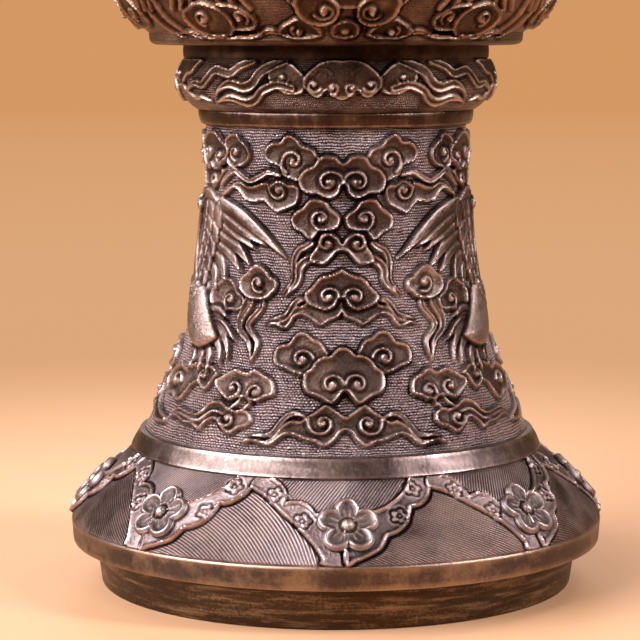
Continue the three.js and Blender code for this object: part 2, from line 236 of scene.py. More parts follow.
    def volute(self, centre, radius, start, turn, quarters, ball, half=0.6, tall=0.75):
        """A raised line that winds into a ball: start in degrees anticlockwise from the right, turn -1 clockwise."""
        k, m = self.metric(centre[1])
        s = np.linspace(0, quarters, int(quarters * 7) + 1)
        ang = np.radians(start + turn * 90 * s)
        r = radius * self.VOLUTE_SHRINK ** s
        pts = np.stack([centre[0] + r * np.cos(ang) / k, centre[1] + r * np.sin(ang) / m], -1)
        where, X, Z, km = self.window([centre], radius + 0.6)
        d = np.hypot(X - centre[0] * km[0], Z - centre[1] * km[1])
        self.high[where] += (0.35 * step_up(1 - d / radius)).astype(np.float32)
        self.ridge(pts, half, tall, curve=False)
        self.ball(centre, ball, tall + 0.25)

    def at(self, x, z):
        """Height, cover and grain at places given by degrees and mm."""
        u = np.clip((x - self.x0) / self.dx, 0, self.nx - 1.001)
        v = np.clip((z - self.z0) / self.dz, 0, self.nz - 1.001)
        i, j = u.astype(int), v.astype(int)
        fu, fv = u - i, v - j
        out = []
        for g in (self.high, self.covered, self.grain):
            low, top = (g[row, i] * (1 - fu) + g[row, i + 1] * fu for row in (j, j + 1))
            out.append(low * (1 - fv) + top * fv)
        return out

    def soften(self):
        for _ in range(2):
            for g in (self.high, self.covered):
                p = np.pad(g, 1, mode="edge")
                g[:] = (p[1:-1, :-2] + 2 * p[1:-1, 1:-1] + p[1:-1, 2:]) / 4
                p = np.pad(g, 1, mode="edge")
                g[:] = (p[:-2, 1:-1] + 2 * p[1:-1, 1:-1] + p[2:, 1:-1]) / 4


# ---------------------------------------------------------------- the cranes and clouds of the column and neck
# Each outline is (degrees from the middle of a cloud group, mm above the resting face). A quarter is drawn,
# and the four quarters mirror it, as a caster's two half patterns do.

CLOUD_A = [(-3, 120.4), (.4, 120.1), (2, 121.1), (3.3, 121.7), (5.6, 122), (8.3, 121.9), (10.1, 121.1), (11.5, 119.6),
           (12.4, 119), (14.7, 118.5), (16.5, 117.5), (17.9, 116.1), (18.2, 114.6), (17.6, 113), (16, 111.9),
           (13.3, 111.3), (10.6, 111.3), (8.3, 110.4), (5.6, 110), (2.9, 110.6), (1.3, 111.9), (.5, 113.6), (-3, 114)]
CLOUD_B = [(.6, 105), (2, 106.3), (4.2, 107.3), (5.4, 108.2), (6.5, 109.4), (8.3, 110), (10.6, 110.4), (13.3, 110.2),
           (15.1, 109.2), (16.5, 108), (18.8, 107.1), (20.6, 106.1), (21.7, 104.6), (21.3, 102.8), (19.7, 101.5),
           (17.4, 100.9), (16, 100), (14.7, 99.2), (12.4, 98.9), (10.6, 100.2), (9.2, 101.4), (6, 101.3),
           (3.3, 101.7), (1.5, 102.5), (.7, 104)]
CLOUD_C = [(-3, 97.6), (0, 98.2), (1, 99.3), (2.4, 100.2), (4.7, 101), (7.2, 101.2), (9, 100.6), (10, 99.2),
           (10.8, 97.2), (12.6, 95.4), (13.6, 93.4), (12.9, 92.8), (10.1, 92.4), (7, 92.3), (4.7, 93.6), (2, 95.7),
           (-3, 96.4)]
CLOUD_D = [(-3, 91.4), (-.3, 91.6), (1.5, 91), (3.3, 90.3), (6, 89.7), (8.3, 89.3), (10.1, 88.1), (11.5, 86.7),
           (13.3, 85.4), (14.2, 84.9), (14.5, 83.9), (13.8, 82.5), (12, 81.5), (9.2, 80.7), (6, 80.1), (3.3, 80.7),
           (1.7, 81.9), (1, 83.1), (-3, 84.3)]
LEAF_D = [(-3, 85), (0, 79.4), (2, 78.2), (4.7, 77.4), (7.2, 76.3), (9.2, 76.7), (11.5, 77.9), (13.8, 78.9), (16, 79),
          (17.9, 78.3), (19.2, 76.8), (21, 75.5), (23.3, 75.6), (26, 76.2), (28.8, 76.0), (28.6, 77), (26, 77.4),
          (22.9, 77.7), (21, 78.5), (19.2, 80.3), (17.4, 81.5), (14.7, 81.9), (10, 84)]
TAIL_D = [(12, 82.5), (14.2, 83.1), (16.5, 82.9), (18.8, 81.5), (20.1, 79.7), (22, 78.5), (24.7, 78.2), (28.3, 77.6)]
CLOUD_E = [(4.9, 69), (5.6, 70), (6.7, 71.6), (8.3, 72.8), (10.1, 73.2), (11.5, 74), (12.9, 74.8), (15.1, 75),
           (17.2, 74.4), (18.5, 73.2), (19.7, 72), (22, 71.6), (23.8, 71), (24.9, 69.6), (25.2, 68), (24.5, 66.4),
           (22.9, 65.6), (20.6, 65.2), (18.8, 64.5), (17, 64), (14.7, 63.6), (12, 63), (9, 65)]
CLOUD_F = [(-3, 71), (0, 71), (2, 70.6), (3.3, 69.8), (4.7, 68.8), (7, 68.6), (9.2, 67.8), (10.8, 66.6), (11.5, 65.4),
           (12.9, 64.8), (14, 63.6), (14.3, 61.8), (13.8, 60), (12.4, 58.9), (10.1, 58.3), (7.9, 57.5), (6, 56.5),
           (4.5, 56.2), (2.9, 56.9), (1.5, 58.3), (.4, 59.3), (-3, 60)]
LEAF_G = [(-3, 53), (.3, 53.4), (1, 53.9), (2.9, 54.9), (4.5, 55.8), (6.3, 56.4), (7.9, 55.6), (9.7, 54.4),
          (11.5, 53.5), (13.8, 52.1), (16, 52.3), (18.1, 51.5), (19.7, 50), (21, 48.4), (22.9, 47.1), (24.7, 46.9),
          (27.4, 47.1), (30.1, 47), (31, 45.5), (29.7, 45.6), (27.9, 46.2), (25.1, 45.7), (22.4, 45.3), (20.6, 46.2),
          (18.8, 47.7), (17, 48.4), (15.1, 48.2), (12.9, 47.5), (10.6, 46.9), (8.8, 46.7), (7.4, 46), (5.6, 45.6),
          (3.8, 46.6), (2.4, 47.8), (1, 49.3), (-3, 50.5)]
TAIL_G = [(11.6, 52.8), (14.7, 53.7), (17, 53.5), (18.8, 52.3), (20.1, 50.8), (21.5, 48.9), (23.3, 48), (26, 47.9),
          (29.2, 47.6)]
CLOUD_H = [(8, 120), (10.6, 122.1), (11.5, 123.2), (13.9, 124.1), (16.5, 124.6), (18.2, 125.8), (20.5, 127),
           (23, 127.3), (25.2, 126.4), (26.4, 125.3), (29.6, 125.2), (32.3, 124.2), (33.9, 122.5), (33.5, 120.6),
           (31.2, 119.4), (27.7, 118.8), (26.3, 117.9), (25.4, 116.3), (22, 115.4), (17, 115)]
CLOUD_I = [(17.5, 111.8), (17.9, 113.3), (20.3, 114.1), (23, 114.2), (25.9, 115.1), (28.5, 114.9), (30.8, 113.7),
           (32, 114.5), (35.2, 114.2), (38.6, 113.4), (42.2, 113.2), (46.1, 114.2), (49.8, 113.7), (54.7, 112.2),
           (58.6, 110.4), (58, 109.3), (53.4, 110.7), (49.8, 111.8), (46.7, 111), (43.2, 109), (38.7, 108.5),
           (34, 108.9), (32, 108.1), (29.7, 106.7), (27.8, 106), (25.2, 106.6), (22, 107.5), (19.2, 108.5),
           (17.9, 110.2)]
TAIL_I = [(60.5, 112.2), (55.2, 115.1), (50.2, 116.7), (45.9, 115.4), (40.9, 114.3), (35.7, 115.7), (31.8, 116.9),
          (26.6, 116.3)]
CLOUD_K = [(41, 121.3), (41.7, 123.1), (44, 124.6), (47, 125.8), (48, 127), (50.8, 127.4), (54, 126.7), (56.7, 125),
           (56, 121), (54.6, 118.5), (51.7, 117.2), (48.6, 117.6), (44.8, 118.2), (42.1, 119.6)]
CLOUD_K2 = [(53.6, 121.5), (54.2, 123.2), (57.7, 124.6), (61, 126), (64.5, 127.4), (70, 127.6), (75, 126.4),
            (78.4, 124), (78, 120.6), (75.5, 117.6), (71.5, 116.6), (68.6, 118), (65.5, 116.6), (60.5, 117),
            (57.4, 118.5), (55, 120)]
CLOUD_K3 = [(57.8, 117), (59.4, 114.6), (63, 113), (67, 111), (72, 110.2), (77, 111.4), (78, 114), (77, 117.5),
            (68, 119)]
CLOUD_K4 = [(78, 123), (80, 124.4), (83, 126.2), (87, 127), (93, 127), (93, 118.4), (87, 118), (82, 118.8),
            (79, 120.6)]
CLOUD_L = [(25.9, 86.6), (26.8, 88.3), (29.3, 89.1), (31, 90.4), (33.6, 91.7), (37, 92.1), (39.6, 91.1), (41, 89.7),
           (43.4, 88.6), (44.6, 86.8), (43.8, 84.8), (41.4, 83.5), (38.3, 82.5), (34.2, 82.4), (30, 83), (28, 84.3),
           (26.6, 85)]
TAIL_L = [(41.2, 87.8), (38.6, 82.6), (41.3, 77.9), (40.9, 74.7), (36.3, 71.8), (34.4, 69.3), (33.4, 66.3)]
TAIL_L2 = [(32.8, 84.3), (32.9, 80.5), (37.2, 76.7), (36.8, 74.7), (32.6, 72), (32.3, 69.4), (33.3, 66.3)]
CLOUD_N = [(61.3, 80.7), (62, 84), (58, 86.4), (53.7, 87.8), (49.9, 87.8), (47, 86.4), (45, 84.5), (41.6, 83.3),
           (40.5, 81.4), (41.9, 79.7), (44.8, 78.9), (48.6, 79), (52, 77.6), (58, 77)]
TUFTS = [[(62.9, 79.4), (57.3, 80), (51.6, 79), (48.8, 77.4), (52.5, 76.4), (60, 76)],
         [(62, 76.6), (57, 77), (51, 76.4), (47.6, 75.2), (53, 74.4), (60, 74)]]
CLOUD_M = [(22.8, 58.7), (23.2, 60.8), (24.4, 62.5), (27.1, 63.4), (29.1, 64.4), (31.6, 64.7), (33.6, 63.7),
           (36.1, 64.1), (38.8, 64.4), (41.5, 63.4), (44.2, 62), (46.4, 60.9), (45.9, 59.3), (43.4, 57.7),
           (40.9, 56.6), (39, 55.8), (36.8, 56.3), (34.3, 57), (31.4, 56.5), (28.5, 56.3), (26, 57.3), (23.5, 57.9)]
NECK_M = [[(30.4, 57), (31.6, 55.2), (33.6, 53.6)], [(34.6, 57), (35.6, 55.6), (37.4, 54.4)]]
CLOUD_M2 = [(29.2, 52), (30.5, 53.8), (33.2, 54.3), (35.6, 53.9), (38.4, 54.6), (41.1, 55.7), (43.9, 55.8),
            (46.6, 54.8), (48.6, 52.7), (51.3, 51.5), (55.7, 51.9), (60, 52.2), (64, 50.8), (64, 49), (60, 49.4),
            (55.2, 48.6), (50.6, 48.3), (47, 47.3), (45.2, 49.4), (43, 50.6), (41, 50), (39.8, 49), (37.6, 47.9),
            (35.4, 47.5), (33, 49), (30.5, 49.8), (29.2, 51.1)]
TAIL_M2 = [(40, 52.6), (43.6, 52.9), (46.2, 51.4), (48.2, 50), (51, 49.8), (55.4, 50.3), (60, 50.7), (64, 49.8)]
CLOUD_O = [(46, 62.6), (47.4, 61), (48.8, 58.8), (51, 57.5), (53.4, 58.2), (55.6, 58.9), (57.8, 58), (59.4, 55.9),
           (61.4, 53.8), (65, 53.4), (69, 54.6), (73, 54.4), (77, 55.6), (79, 58), (77, 60.4), (74, 62), (70, 63.2),
           (66, 62.4), (62, 63.6), (58, 64.8), (54, 64.2), (50, 64.4)]
CLOUD_P = [(93, 69), (88, 69.4), (84, 68.4), (80.6, 66.6), (79.6, 64), (81, 61.6), (84.4, 60.4), (88, 60.8),
           (93, 60.4)]
LEAF_P = [(93, 58.4), (87, 58), (83, 56.4), (79, 53), (75, 50.6), (70, 49.6), (66, 49), (66, 47.4), (71, 46.8),
          (76, 47), (81, 48.6), (86, 49.8), (93, 50)]
BIRD_BODY = [(51, 71.8), (54, 74.4), (57, 76.6), (60, 79.2), (63.4, 82.2), (67, 85), (71, 87.4), (75.4, 89),
             (79.6, 89.4), (82.6, 87.4), (83, 83.6), (80.6, 79), (77, 75), (73, 71.8), (68.4, 69.4), (63.4, 68.1),
             (58.8, 68.2), (54.6, 69.4)]
BIRD_NECK = [(78.4, 86.4), (81.6, 88.8), (84.8, 92), (86.3, 96), (85.4, 100), (82.2, 103.2), (80.2, 106.6)]
BIRD_BILL = [(80.6, 108.6), (76.4, 110.4), (71.6, 111.6)]
WING = [(70, 108.4), (60, 107), (52, 103.4), (50, 99.6), (54, 96), (60, 92), (66, 88), (72, 90), (76, 98)]
WING_EDGE = [(63, 108.3), (68, 109.9), (73, 110.2), (77.5, 109.2), (81.4, 106.6)]
PRIMARIES = [([(66, 108.6), (58.9, 107.9), (46.7, 105.1), (34.6, 100.3), (22.6, 93.6)], 2.0),
             ([(61, 106.4), (55.9, 104.8), (43.6, 101.2), (31.6, 96.9)], 2.3),
             ([(67, 105.6), (62.4, 103.7), (51.6, 101.2), (43.5, 98.8), (36.4, 95.6)], 2.4),
             ([(69, 103), (65, 101.1), (54, 98.8), (45.9, 95.6), (38.8, 91.2)], 2.4),
             ([(70, 100), (65.3, 98), (56.4, 96.4), (50.4, 93.8), (44, 89.4)], 2.4),
             ([(72, 98), (66.5, 95.4), (60.4, 93.4), (56.3, 90.8), (52.8, 86.8)], 2.35),
             ([(76, 96), (71.7, 93.6), (66, 91.2), (61.8, 88.4), (58.6, 84)], 2.3),
             ([(84, 93.6), (80.5, 91.4), (72.3, 88.2), (67.2, 84.5), (64.2, 80.2)], 2.1)]
# columns of scales over the roots of the primaries: the first and last place, and how many there are
SCALES = [((61, 104.6), (70, 88.6), 5), ((67.8, 106.8), (76, 88.6), 6), ((74.6, 107), (80.8, 91.8), 5)]
PLUMES = [([(60.8, 78.3), (55.5, 78.9), (51.1, 78.3), (47.8, 76.9)], 1.68),
          ([(61, 76.4), (55, 76.6), (50, 75.6), (46.2, 73.8)], 1.54),
          ([(60.8, 75), (53.1, 75.4), (48.1, 74.3), (42.5, 71.8), (40.3, 70.6)], 1.75),
          ([(58.6, 74.4), (51.6, 73.6), (46.7, 71.2), (44.2, 68.1), (43.4, 65.2)], 1.82),
          ([(57.6, 72.9), (50.8, 70.3), (47.9, 67.6), (46.7, 64.2)], 1.75),
          ([(60, 70.8), (54.6, 67.8), (53, 65.1), (52.4, 61.8)], 1.82),
          ([(62.4, 69.6), (58.6, 66.8), (57.6, 64.4), (57.4, 61.8)], 1.75),
          ([(66.4, 68.8), (63.7, 66.2), (63.2, 64.2), (63.9, 62)], 1.68)]


def as_drawn(z):
    return z


def draw_sky(rel, up=as_drawn):
    """Clouds and a crane for one quarter. up() lifts the heights to the tube they are drawn on."""
    def lift(points):
        return [(x, up(z)) for x, z in points]

    def plate(points, **form):
        rel.plate(lift(points), **form)

    def ribbon(points, widths, **form):
        rel.ribbon(lift(points), widths, **form)

    def volute(x, z, *form):
        rel.volute((x, up(z)), *form)

    plate(CLOUD_K3, tall=1.0)
    volute(66.4, 113.6, 2.4, 0, 1, 3.6, .75)
    plate(CLOUD_K4, tall=1.1)
    volute(85.6, 121.6, 2.6, 180, -1, 3.6, .9)
    plate(CLOUD_K, tall=1.15)
    volute(50.2, 121.6, 2.2, 270, 1, 3.4, .8)
    plate(CLOUD_K2, tall=1.3)
    volute(60.8, 120.4, 2.7, 200, 1, 3.8, .8)
    volute(71.4, 121.8, 2.4, 340, -1, 3.6, .7)

    plate(CLOUD_H, tall=1.1)
    volute(20.6, 120.3, 3.6, 300, 1, 4.0, .95)
    plate(CLOUD_A, base=.35)
    volute(5.8, 114.6, 3.7, 180, -1, 4.4, 1.05)
    plate(CLOUD_I, tall=1.15, wide=1.9)
    ribbon(TAIL_I, [.4, .9, 1.0, 1.0, 1.0, 1.0, .9, .7], tall=1.05, dish=.35)
    volute(26.9, 112, 3.0, 40, -1, 4.1, .95)
    ribbon([(13, 98), (15.2, 97), (17.5, 96.2), (19, 94.5), (19.6, 92.5), (19.2, 90.5), (19, 88.5), (20, 87),
            (21.5, 86), (23.5, 84.5)], [1.0, 1.1, 1.05, .95, .35], tall=.95)
    plate(CLOUD_B, base=.2)
    volute(9.0, 104.8, 3.3, 250, 1, 4.4, 1.05)
    ribbon([(5, 95.6), (9, 94.6), (12.6, 93.9), (15.6, 92.8), (17.3, 90.8), (17.3, 88.5), (18.3, 86.7), (20.5, 85.2),
            (22.6, 83.8)], [1.6, 1.4, 1.3, 1.0, .35], base=.1)
    plate(CLOUD_C, base=.3, wide=1.7)
    volute(6.2, 98, 2.3, 80, -1, 4.0, .95)

    ribbon(TAIL_D, [.6, 1.05, 1.1, 1.0, .35], tall=.95)
    plate(LEAF_D, tall=1.0, wide=1.5)
    plate(CLOUD_D, base=.35)
    volute(5.0, 83.9, 2.9, 180, -1, 4.2, .95)

    plate(CLOUD_E, tall=1.15)
    volute(14.7, 67.8, 3.2, 180, -1, 4.6, 1.0)
    ribbon(TAIL_G, [.6, 1.0, 1.05, .95, .35], tall=.95)
    plate(LEAF_G, tall=1.1, wide=1.8)
    volute(6.9, 51.5, 4.0, 10, -1, 4.9, 1.1)
    plate(CLOUD_F, base=.35)
    volute(4.4, 61.2, 3.3, 180, -1, 4.6, 1.05)

    ribbon(TAIL_L2, [.9, 1.05, 1.05, 1.0, .9, .7, .3], tall=.95)
    ribbon(TAIL_L, [2.0, 1.9, 1.6, 1.3, 1.1, .8, .25], tall=1.1, dish=.6)
    plate(CLOUD_N, tall=1.0)
    volute(49, 81.9, 2.6, 270, 1, 3.4, .95)
    for tuft in TUFTS:
        plate(tuft, tall=1.1, dish=.2, wide=1.2)
    plate(CLOUD_L, tall=1.35, wide=2.8)
    volute(34.9, 87, 2.7, 240, 1, 3.9, 1.05)

    for neck in NECK_M:
        ribbon(neck, [.7, .7, .7], tall=.9)
    plate(CLOUD_M2, tall=1.15, wide=1.6)
    ribbon(TAIL_M2, [.5, .7, .7, .6, .3], base=.25, tall=.75, dish=.2)
    volute(37.6, 51.3, 2.6, 0, -1, 3.6, .9)
    plate(CLOUD_M, tall=1.3, wide=2.2)
    volute(29.4, 58.8, 2.8, 290, 1, 4.2, 1.0)
    volute(38, 59.4, 2.9, 280, -1, 3.6, .85)
    plate(LEAF_P, tall=1.1, wide=1.6)
    volute(87, 53.6, 2.6, 0, -1, 3.8, .9)
    plate(CLOUD_O, tall=1.15, wide=1.8)
    volute(53.2, 61.4, 2.0, 300, 1, 3.6, .8)
    volute(69.6, 58.4, 2.9, 180, -1, 4.2, .95)
    plate(CLOUD_P, tall=1.2)
    volute(86, 64.8, 2.6, 180, 1, 3.8, .9)

    # the crane: tail plumes, the wing's primaries, body, scales over the primaries' roots, neck, bill and head
    for path, half in PLUMES:
        rel.feather(lift(path), half, tall=1.15, point=.8, blunt=.62, seam=.55)
    plate(WING, tall=.75, rim=0, dish=0)
    for n, (path, half) in enumerate(reversed(PRIMARIES)):
        rel.feather(lift(path), half, tall=1.05 + .08 * n, point=.55, seam=.6)
    rel.dome(lift(BIRD_BODY), tall=1.0, bulge=2.1, across=6.5)
    turn = np.radians(np.linspace(-80, 80, 7))
    for row in range(3):
        for side in ((-3.2, 0, 3.2) if row % 2 == 0 else (-1.6, 1.6)):
            along, across = 2.6 * row + 1.7 * np.cos(turn), side + 1.7 * np.sin(turn)
            x, z = 78.5 - 1.079 * along + 0.937 * across, 86 - 0.656 * along - 0.755 * across
            rel.ridge(lift(zip(x, z)), half=.42, tall=.22)
    for n, (first, last, count) in enumerate(SCALES):
        for share in np.linspace(1, 0, count):
            x, z = first[0] + (last[0] - first[0]) * share, first[1] + (last[1] - first[1]) * share
            rel.feather(lift([(x + 2.4, z + 2.8), (x + .8, z), (x - 2.4, z - 3.7)]), 2.75,
                        base=.2 + .1 * n, tall=1.5, point=.72, rim=.22, dome=1.0, seam=.9)
    ribbon(WING_EDGE, [.9, 1.3, 1.6, 1.7, 1.2], base=.5, tall=1.15, rim=0, dish=0, grain=.85)
    ribbon(BIRD_NECK, [1.9, 1.8, 1.6, 1.45, 1.35, 1.4, 1.5], base=.8, tall=1.5, rim=0, dish=0, grain=.9)
    ribbon(BIRD_BILL, [.85, .55, .2], base=.6, tall=1.3, rim=0, dish=0)
    rel.ball((80.2, up(107)), 2.1, .7)
    rel.ball((79.2, up(107.6)), .5, .3)
    rel.soften()


def fold(a, period=180.0):
    """Degrees from the middle of the nearest cloud group, the same on both of its sides."""
    return np.abs((a + period / 2) % period - period / 2)


def drift(a, z, amount, seed):
    """A slow wander, so that repeats aren't copies of each other."""
    a, z = np.radians(a), z / 14.0
    waves = np.sin(3 * a + 1.3 * z + seed) + 0.7 * np.sin(5 * a - 1.9 * z + 2.1 * seed)
    return amount * (waves + 0.5 * np.sin(8 * a + 2.7 * z + .7 * seed))


# ---------------------------------------------------------------- meshes

FIELDS = ("patina_and_shade", "ground", "grain", "hatch", "phase", "worn")
SHARP_DEGREES = 40


def counted(n):
    return int(n * fine)


def azimuths(n):
    """Degrees round from the front, towards the vase's right."""
    return np.arange(n) * 360.0 / n


def run_along(curve):
    """Length along a curve from its start to each of its points."""
    return np.concatenate([[0], np.cumsum(np.linalg.norm(np.diff(curve, axis=0), axis=1))])


def normals(curve):
    t = np.gradient(curve, axis=0)
    t /= np.linalg.norm(t, axis=1, keepdims=True)
    return np.stack([t[:, 1], -t[:, 0]], -1)


def blur_rows(h, passes):
    for _ in range(passes):
        p = np.concatenate([h[:1], h, h[-1:]])
        h = (p[:-2] + 2 * h + p[2:]) / 4
        h = (np.roll(h, 1, 1) + 2 * h + np.roll(h, -1, 1)) / 4
    return h


def round_the_axis(a, r, z):
    """Places in metres from azimuth in radians, and radius and height in mm."""
    return np.stack([r * np.sin(a), -r * np.cos(a), z], -1).reshape(-1, 3) * MM


def turned_piece(name, node, loop, n_round, relief=None, rows=None, maps=None, threads=(240, 60), worn=None,
                 tint_and_shade=None):
    """A closed ring of metal: loop is its section, and relief stands on the rows that it covers."""
    loop = np.asarray(loop, float)
    count = len(loop)
    a = np.radians(azimuths(n_round))
    r = np.repeat(loop[:, :1], n_round, 1)
    z = np.repeat(loop[:, 1:], n_round, 1)
    fields = {k: np.zeros((count, n_round), np.float32) for k in FIELDS}
    if relief is not None:
        nrm = normals(loop[rows])
        r[rows] += relief * nrm[:, :1]
        z[rows] += relief * nrm[:, 1:]
        crest, near, far = (blur_rows(relief, passes) for passes in (1, 4, 16))
        # hollows of the relief darken, as patina and as painted shade for the undercuts; raised rims lighten
        fields["patina_and_shade"][rows] = np.clip((crest - near) * 2.6 + (relief - far) * 0.5, -1, 1)
        for key, values in maps.items():
            fields[key][rows] = values
    if worn is not None:
        fields["worn"][:] = np.asarray(worn, np.float32)[:, None]
    # painted shade, and some lighter rows, added per row or per place, as on the column's front and the collars under
    # the bulb
    if tint_and_shade is not None:
        fields["patina_and_shade"] += np.asarray(tint_and_shade, np.float32).reshape(count, -1)
    i, j = np.meshgrid(np.arange(count), np.arange(n_round), indexing="ij")
    i2, j2 = (i + 1) % count, (j + 1) % n_round
    corners = [row * n_round + column for row, column in ((i, j), (i, j2), (i2, j2), (i2, j))]
    run = run_along(np.concatenate([loop, loop[:1]]))
    v0, v1 = run[i] / run[-1], run[i + 1] / run[-1]
    u0, u1 = j / n_round, (j + 1) / n_round
    uv = np.stack([np.stack(pair, -1) for pair in ((u0, v0), (u1, v0), (u1, v1), (u0, v1))], -2)
    return piece(name, node, round_the_axis(a, r, z), [np.stack(corners, -1).reshape(-1, 4)], uv.reshape(-1, 2),
                 {k: f.ravel() for k, f in fields.items()}, (threads[0], run[-1] * threads[1]), SHARP_DEGREES)


def piece(name, node, P, faces, uv, fields, pitch=(1, 1), sharp=0):
    """A mesh from vertices in metres and arrays of faces, each array with one number of corners."""
    me = bpy.data.meshes.new(name)
    me.vertices.add(len(P))
    me.vertices.foreach_set("co", np.ascontiguousarray(P, np.float32).ravel())
    corners = np.concatenate([f.ravel() for f in faces]).astype(np.int32)
    sides = np.concatenate([np.full(len(f), f.shape[1]) for f in faces])
    me.loops.add(len(corners))
    me.loops.foreach_set("vertex_index", corners)
    me.polygons.add(len(sides))
    me.polygons.foreach_set("loop_start", (np.cumsum(sides) - sides).astype(np.int32))
    me.update(calc_edges=True)
    for layer, scale in (("OFBake", 1), ("Threads", pitch)):
        me.uv_layers.new(name=layer).data.foreach_set("uv", np.ascontiguousarray(uv * scale, np.float32).ravel())
    for key, values in fields.items():
        me.attributes.new(key, "FLOAT", "POINT").data.foreach_set("value", np.ascontiguousarray(values, np.float32))
    me.shade_smooth()
    if sharp:
        me.set_sharp_from_angle(angle=math.radians(sharp))
    ob = bpy.data.objects.new(name, me)
    bpy.context.scene.collection.objects.link(ob)
    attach(ob, "root")
    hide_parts(node)
    return ob


def rounded(points, radius):
    """A section with its corners turned over by a small radius."""
    p = np.array(points, float)
    out = []
    for k in range(len(p)):
        a, b, c = p[k - 1], p[k], p[(k + 1) % len(p)]
        ra = min(radius, np.linalg.norm(a - b) * 0.45, np.linalg.norm(c - b) * 0.45)
        s, e = b + (a - b) / np.linalg.norm(a - b) * ra, b + (c - b) / np.linalg.norm(c - b) * ra
        for t in np.linspace(0, 1, 4):
            out.append(s * (1 - t) ** 2 + b * 2 * t * (1 - t) + e * t ** 2)
    return np.array(out)


def spread(curve, n):
    """The same curve with n evenly spaced points."""
    c = np.asarray(curve, float)
    s = run_along(c)
    t = np.linspace(0, s[-1], n)
    return np.stack([np.interp(t, s, c[:, 0]), np.interp(t, s, c[:, 1])], -1)


# ---------------------------------------------------------------- the skirt and the mouth

class Flare:
    """The hollow curve of the skirt or the mouth: radius and height by arc length from its band."""

    def __init__(self, narrow, rim, rise, z, hanging):
        c = bezier(narrow, rim, rise, 400)
        c[:, 1] = z - c[:, 1] if hanging else z + c[:, 1]
        self.curve, self.hanging = c, hanging
        self.s = run_along(c)
        self.length = self.s[-1]
        self.normal = normals(c) * (-1 if hanging else 1)

    def point(self, s):
        return np.stack([np.interp(s, self.s, self.curve[:, k]) for k in (0, 1)], -1)

    def out(self, s):
        return np.stack([np.interp(s, self.s, self.normal[:, k]) for k in (0, 1)], -1)

    def radius_at(self, s):
        return np.interp(s, self.s, self.curve[:, 0])


skirt_flare = Flare(skirt_narrow, flange_radius, skirt_rise, band_z, True)
mouth_flare = Flare(mouth_narrow, mouth_radius, mouth_rise, mouth_z, False)

# Scarves of brocade from blossom to blossom, in degrees from a blossom and share of the way from band to edge.
# A point written twice is a cusp between two lobes.
SCARF_UP = [(-1, .99), (1.5, .96), (4.4, .9), (6.8, .83), (8.4, .7), (8.4, .7), (11, .65), (13.2, .55), (14.8, .38),
            (14.8, .38), (17.4, .35), (19.9, .26), (21.6, .12), (22.4, -.06), (17.8, -.06), (14.6, .12), (11.4, .25),
            (8, .35), (4, .43), (-1, .6)]
SCARF_DOWN = [(-22.4, -.05), (-19.2, -.01), (-16.8, .05), (-14.6, .15), (-13.8, .28), (-13.8, .28), (-11.2, .26),
              (-8.6, .3), (-6.6, .41), (-6.6, .41), (-4, .43), (0, .6), (1, .99), (-5.4, .99), (-6, .9), (-8, .74),
              (-11.4, .55), (-15.6, .38), (-20, .23), (-24.4, .12)]
SPRIGS = [(-17.2, .2), (-9.6, .5), (16.4, .14), (11.4, .46)]
REPEAT = 45     # degrees from blossom to blossom
HEART_AT = 0.375    # where a blossom's middle sits, as a share of the flare's points from its band


def draw_brocade(flare):
    """The scarves and their small engraved plum flowers, over one repeat."""
    ln = flare.length
    rel = Relief((-REPEAT / 2, REPEAT / 2), (-1, ln + 1), flare.radius_at, fineness=0.14, by_arc=True, deepest=-0.55)
    for shift in (-REPEAT, 0, REPEAT):
        down, rise = ([(x + shift, s * ln) for x, s in scarf] for scarf in (SCARF_DOWN, SCARF_UP))
        rel.plate(down, tall=.55, rim=.3, dish=.25, wide=1.4, grain=.7, seam=.8)
        rel.ridge([(x, s + 1.2) for x, s in down[1:10]], .4, -.3)
        rel.plate(rise, tall=.85, rim=.6, dish=.6, wide=1.3, grain=.7, seam=.9)
        for x, s in SPRIGS:
            x, s = x + shift, s * ln
            k, _ = rel.metric(s)
            t = np.linspace(0, 2 * math.pi, 61)
            r = 1.7 + .95 * abs(np.cos(2.5 * t)) ** .7
            rel.ridge(np.stack([x + r * np.cos(t) / k, s + r * np.sin(t)], -1), .42, -.42, curve=False)
            t = t[::5]
            rel.ridge(np.stack([x + .75 * np.cos(t) / k, s + .75 * np.sin(t)], -1), .34, -.36, curve=False)
    rel.soften()
    return rel


def brocade(flare, n_round, rows):
    """Relief and engraving on a grid of arc length by azimuth."""
    rel = draw_brocade(flare)
    az, s = np.meshgrid(azimuths(n_round), rows)
    a = az + drift(az, s, 0.28, 2.0) + REPEAT / 2
    x = a % REPEAT - REPEAT / 2
    high, covered, _ = rel.at(x, s + drift(az, s, 0.1, 5.0))
    radius = flare.radius_at(rows)[:, None] * math.pi / 180
    # over a blossom the lines run with the slope; under a peak they are waves about a low corner, or slanting threads
    inner = np.abs(x) < np.interp(s / flare.length, [-.1, 0, .3, .5, 1], [20, 18, 11, 3, 0])
    peak = np.where(x < 0, x + REPEAT, x) - REPEAT / 2
    corner = np.hypot((peak + 22) * radius, s - flare.length * 2.0)
    slant = (peak * radius * 0.55 - s) * 0.9
    odd = (np.floor(a / REPEAT) + (x > 0)) % 2
    phase = np.where(inner, (x * radius * 0.85 + 0.55 * s) * 1.3, np.where(odd > 0, slant * 1.45, corner * 1.3))
    fade = step_up(s / 1.2) * step_up((flare.length - s) / 0.8)
    high = high * step_up((s + 0.2) / 0.8) * step_up((flare.length - s + .1) / 0.6)
    return high, {"hatch": (1 - covered) * fade, "phase": phase, "grain": covered * 0.8}


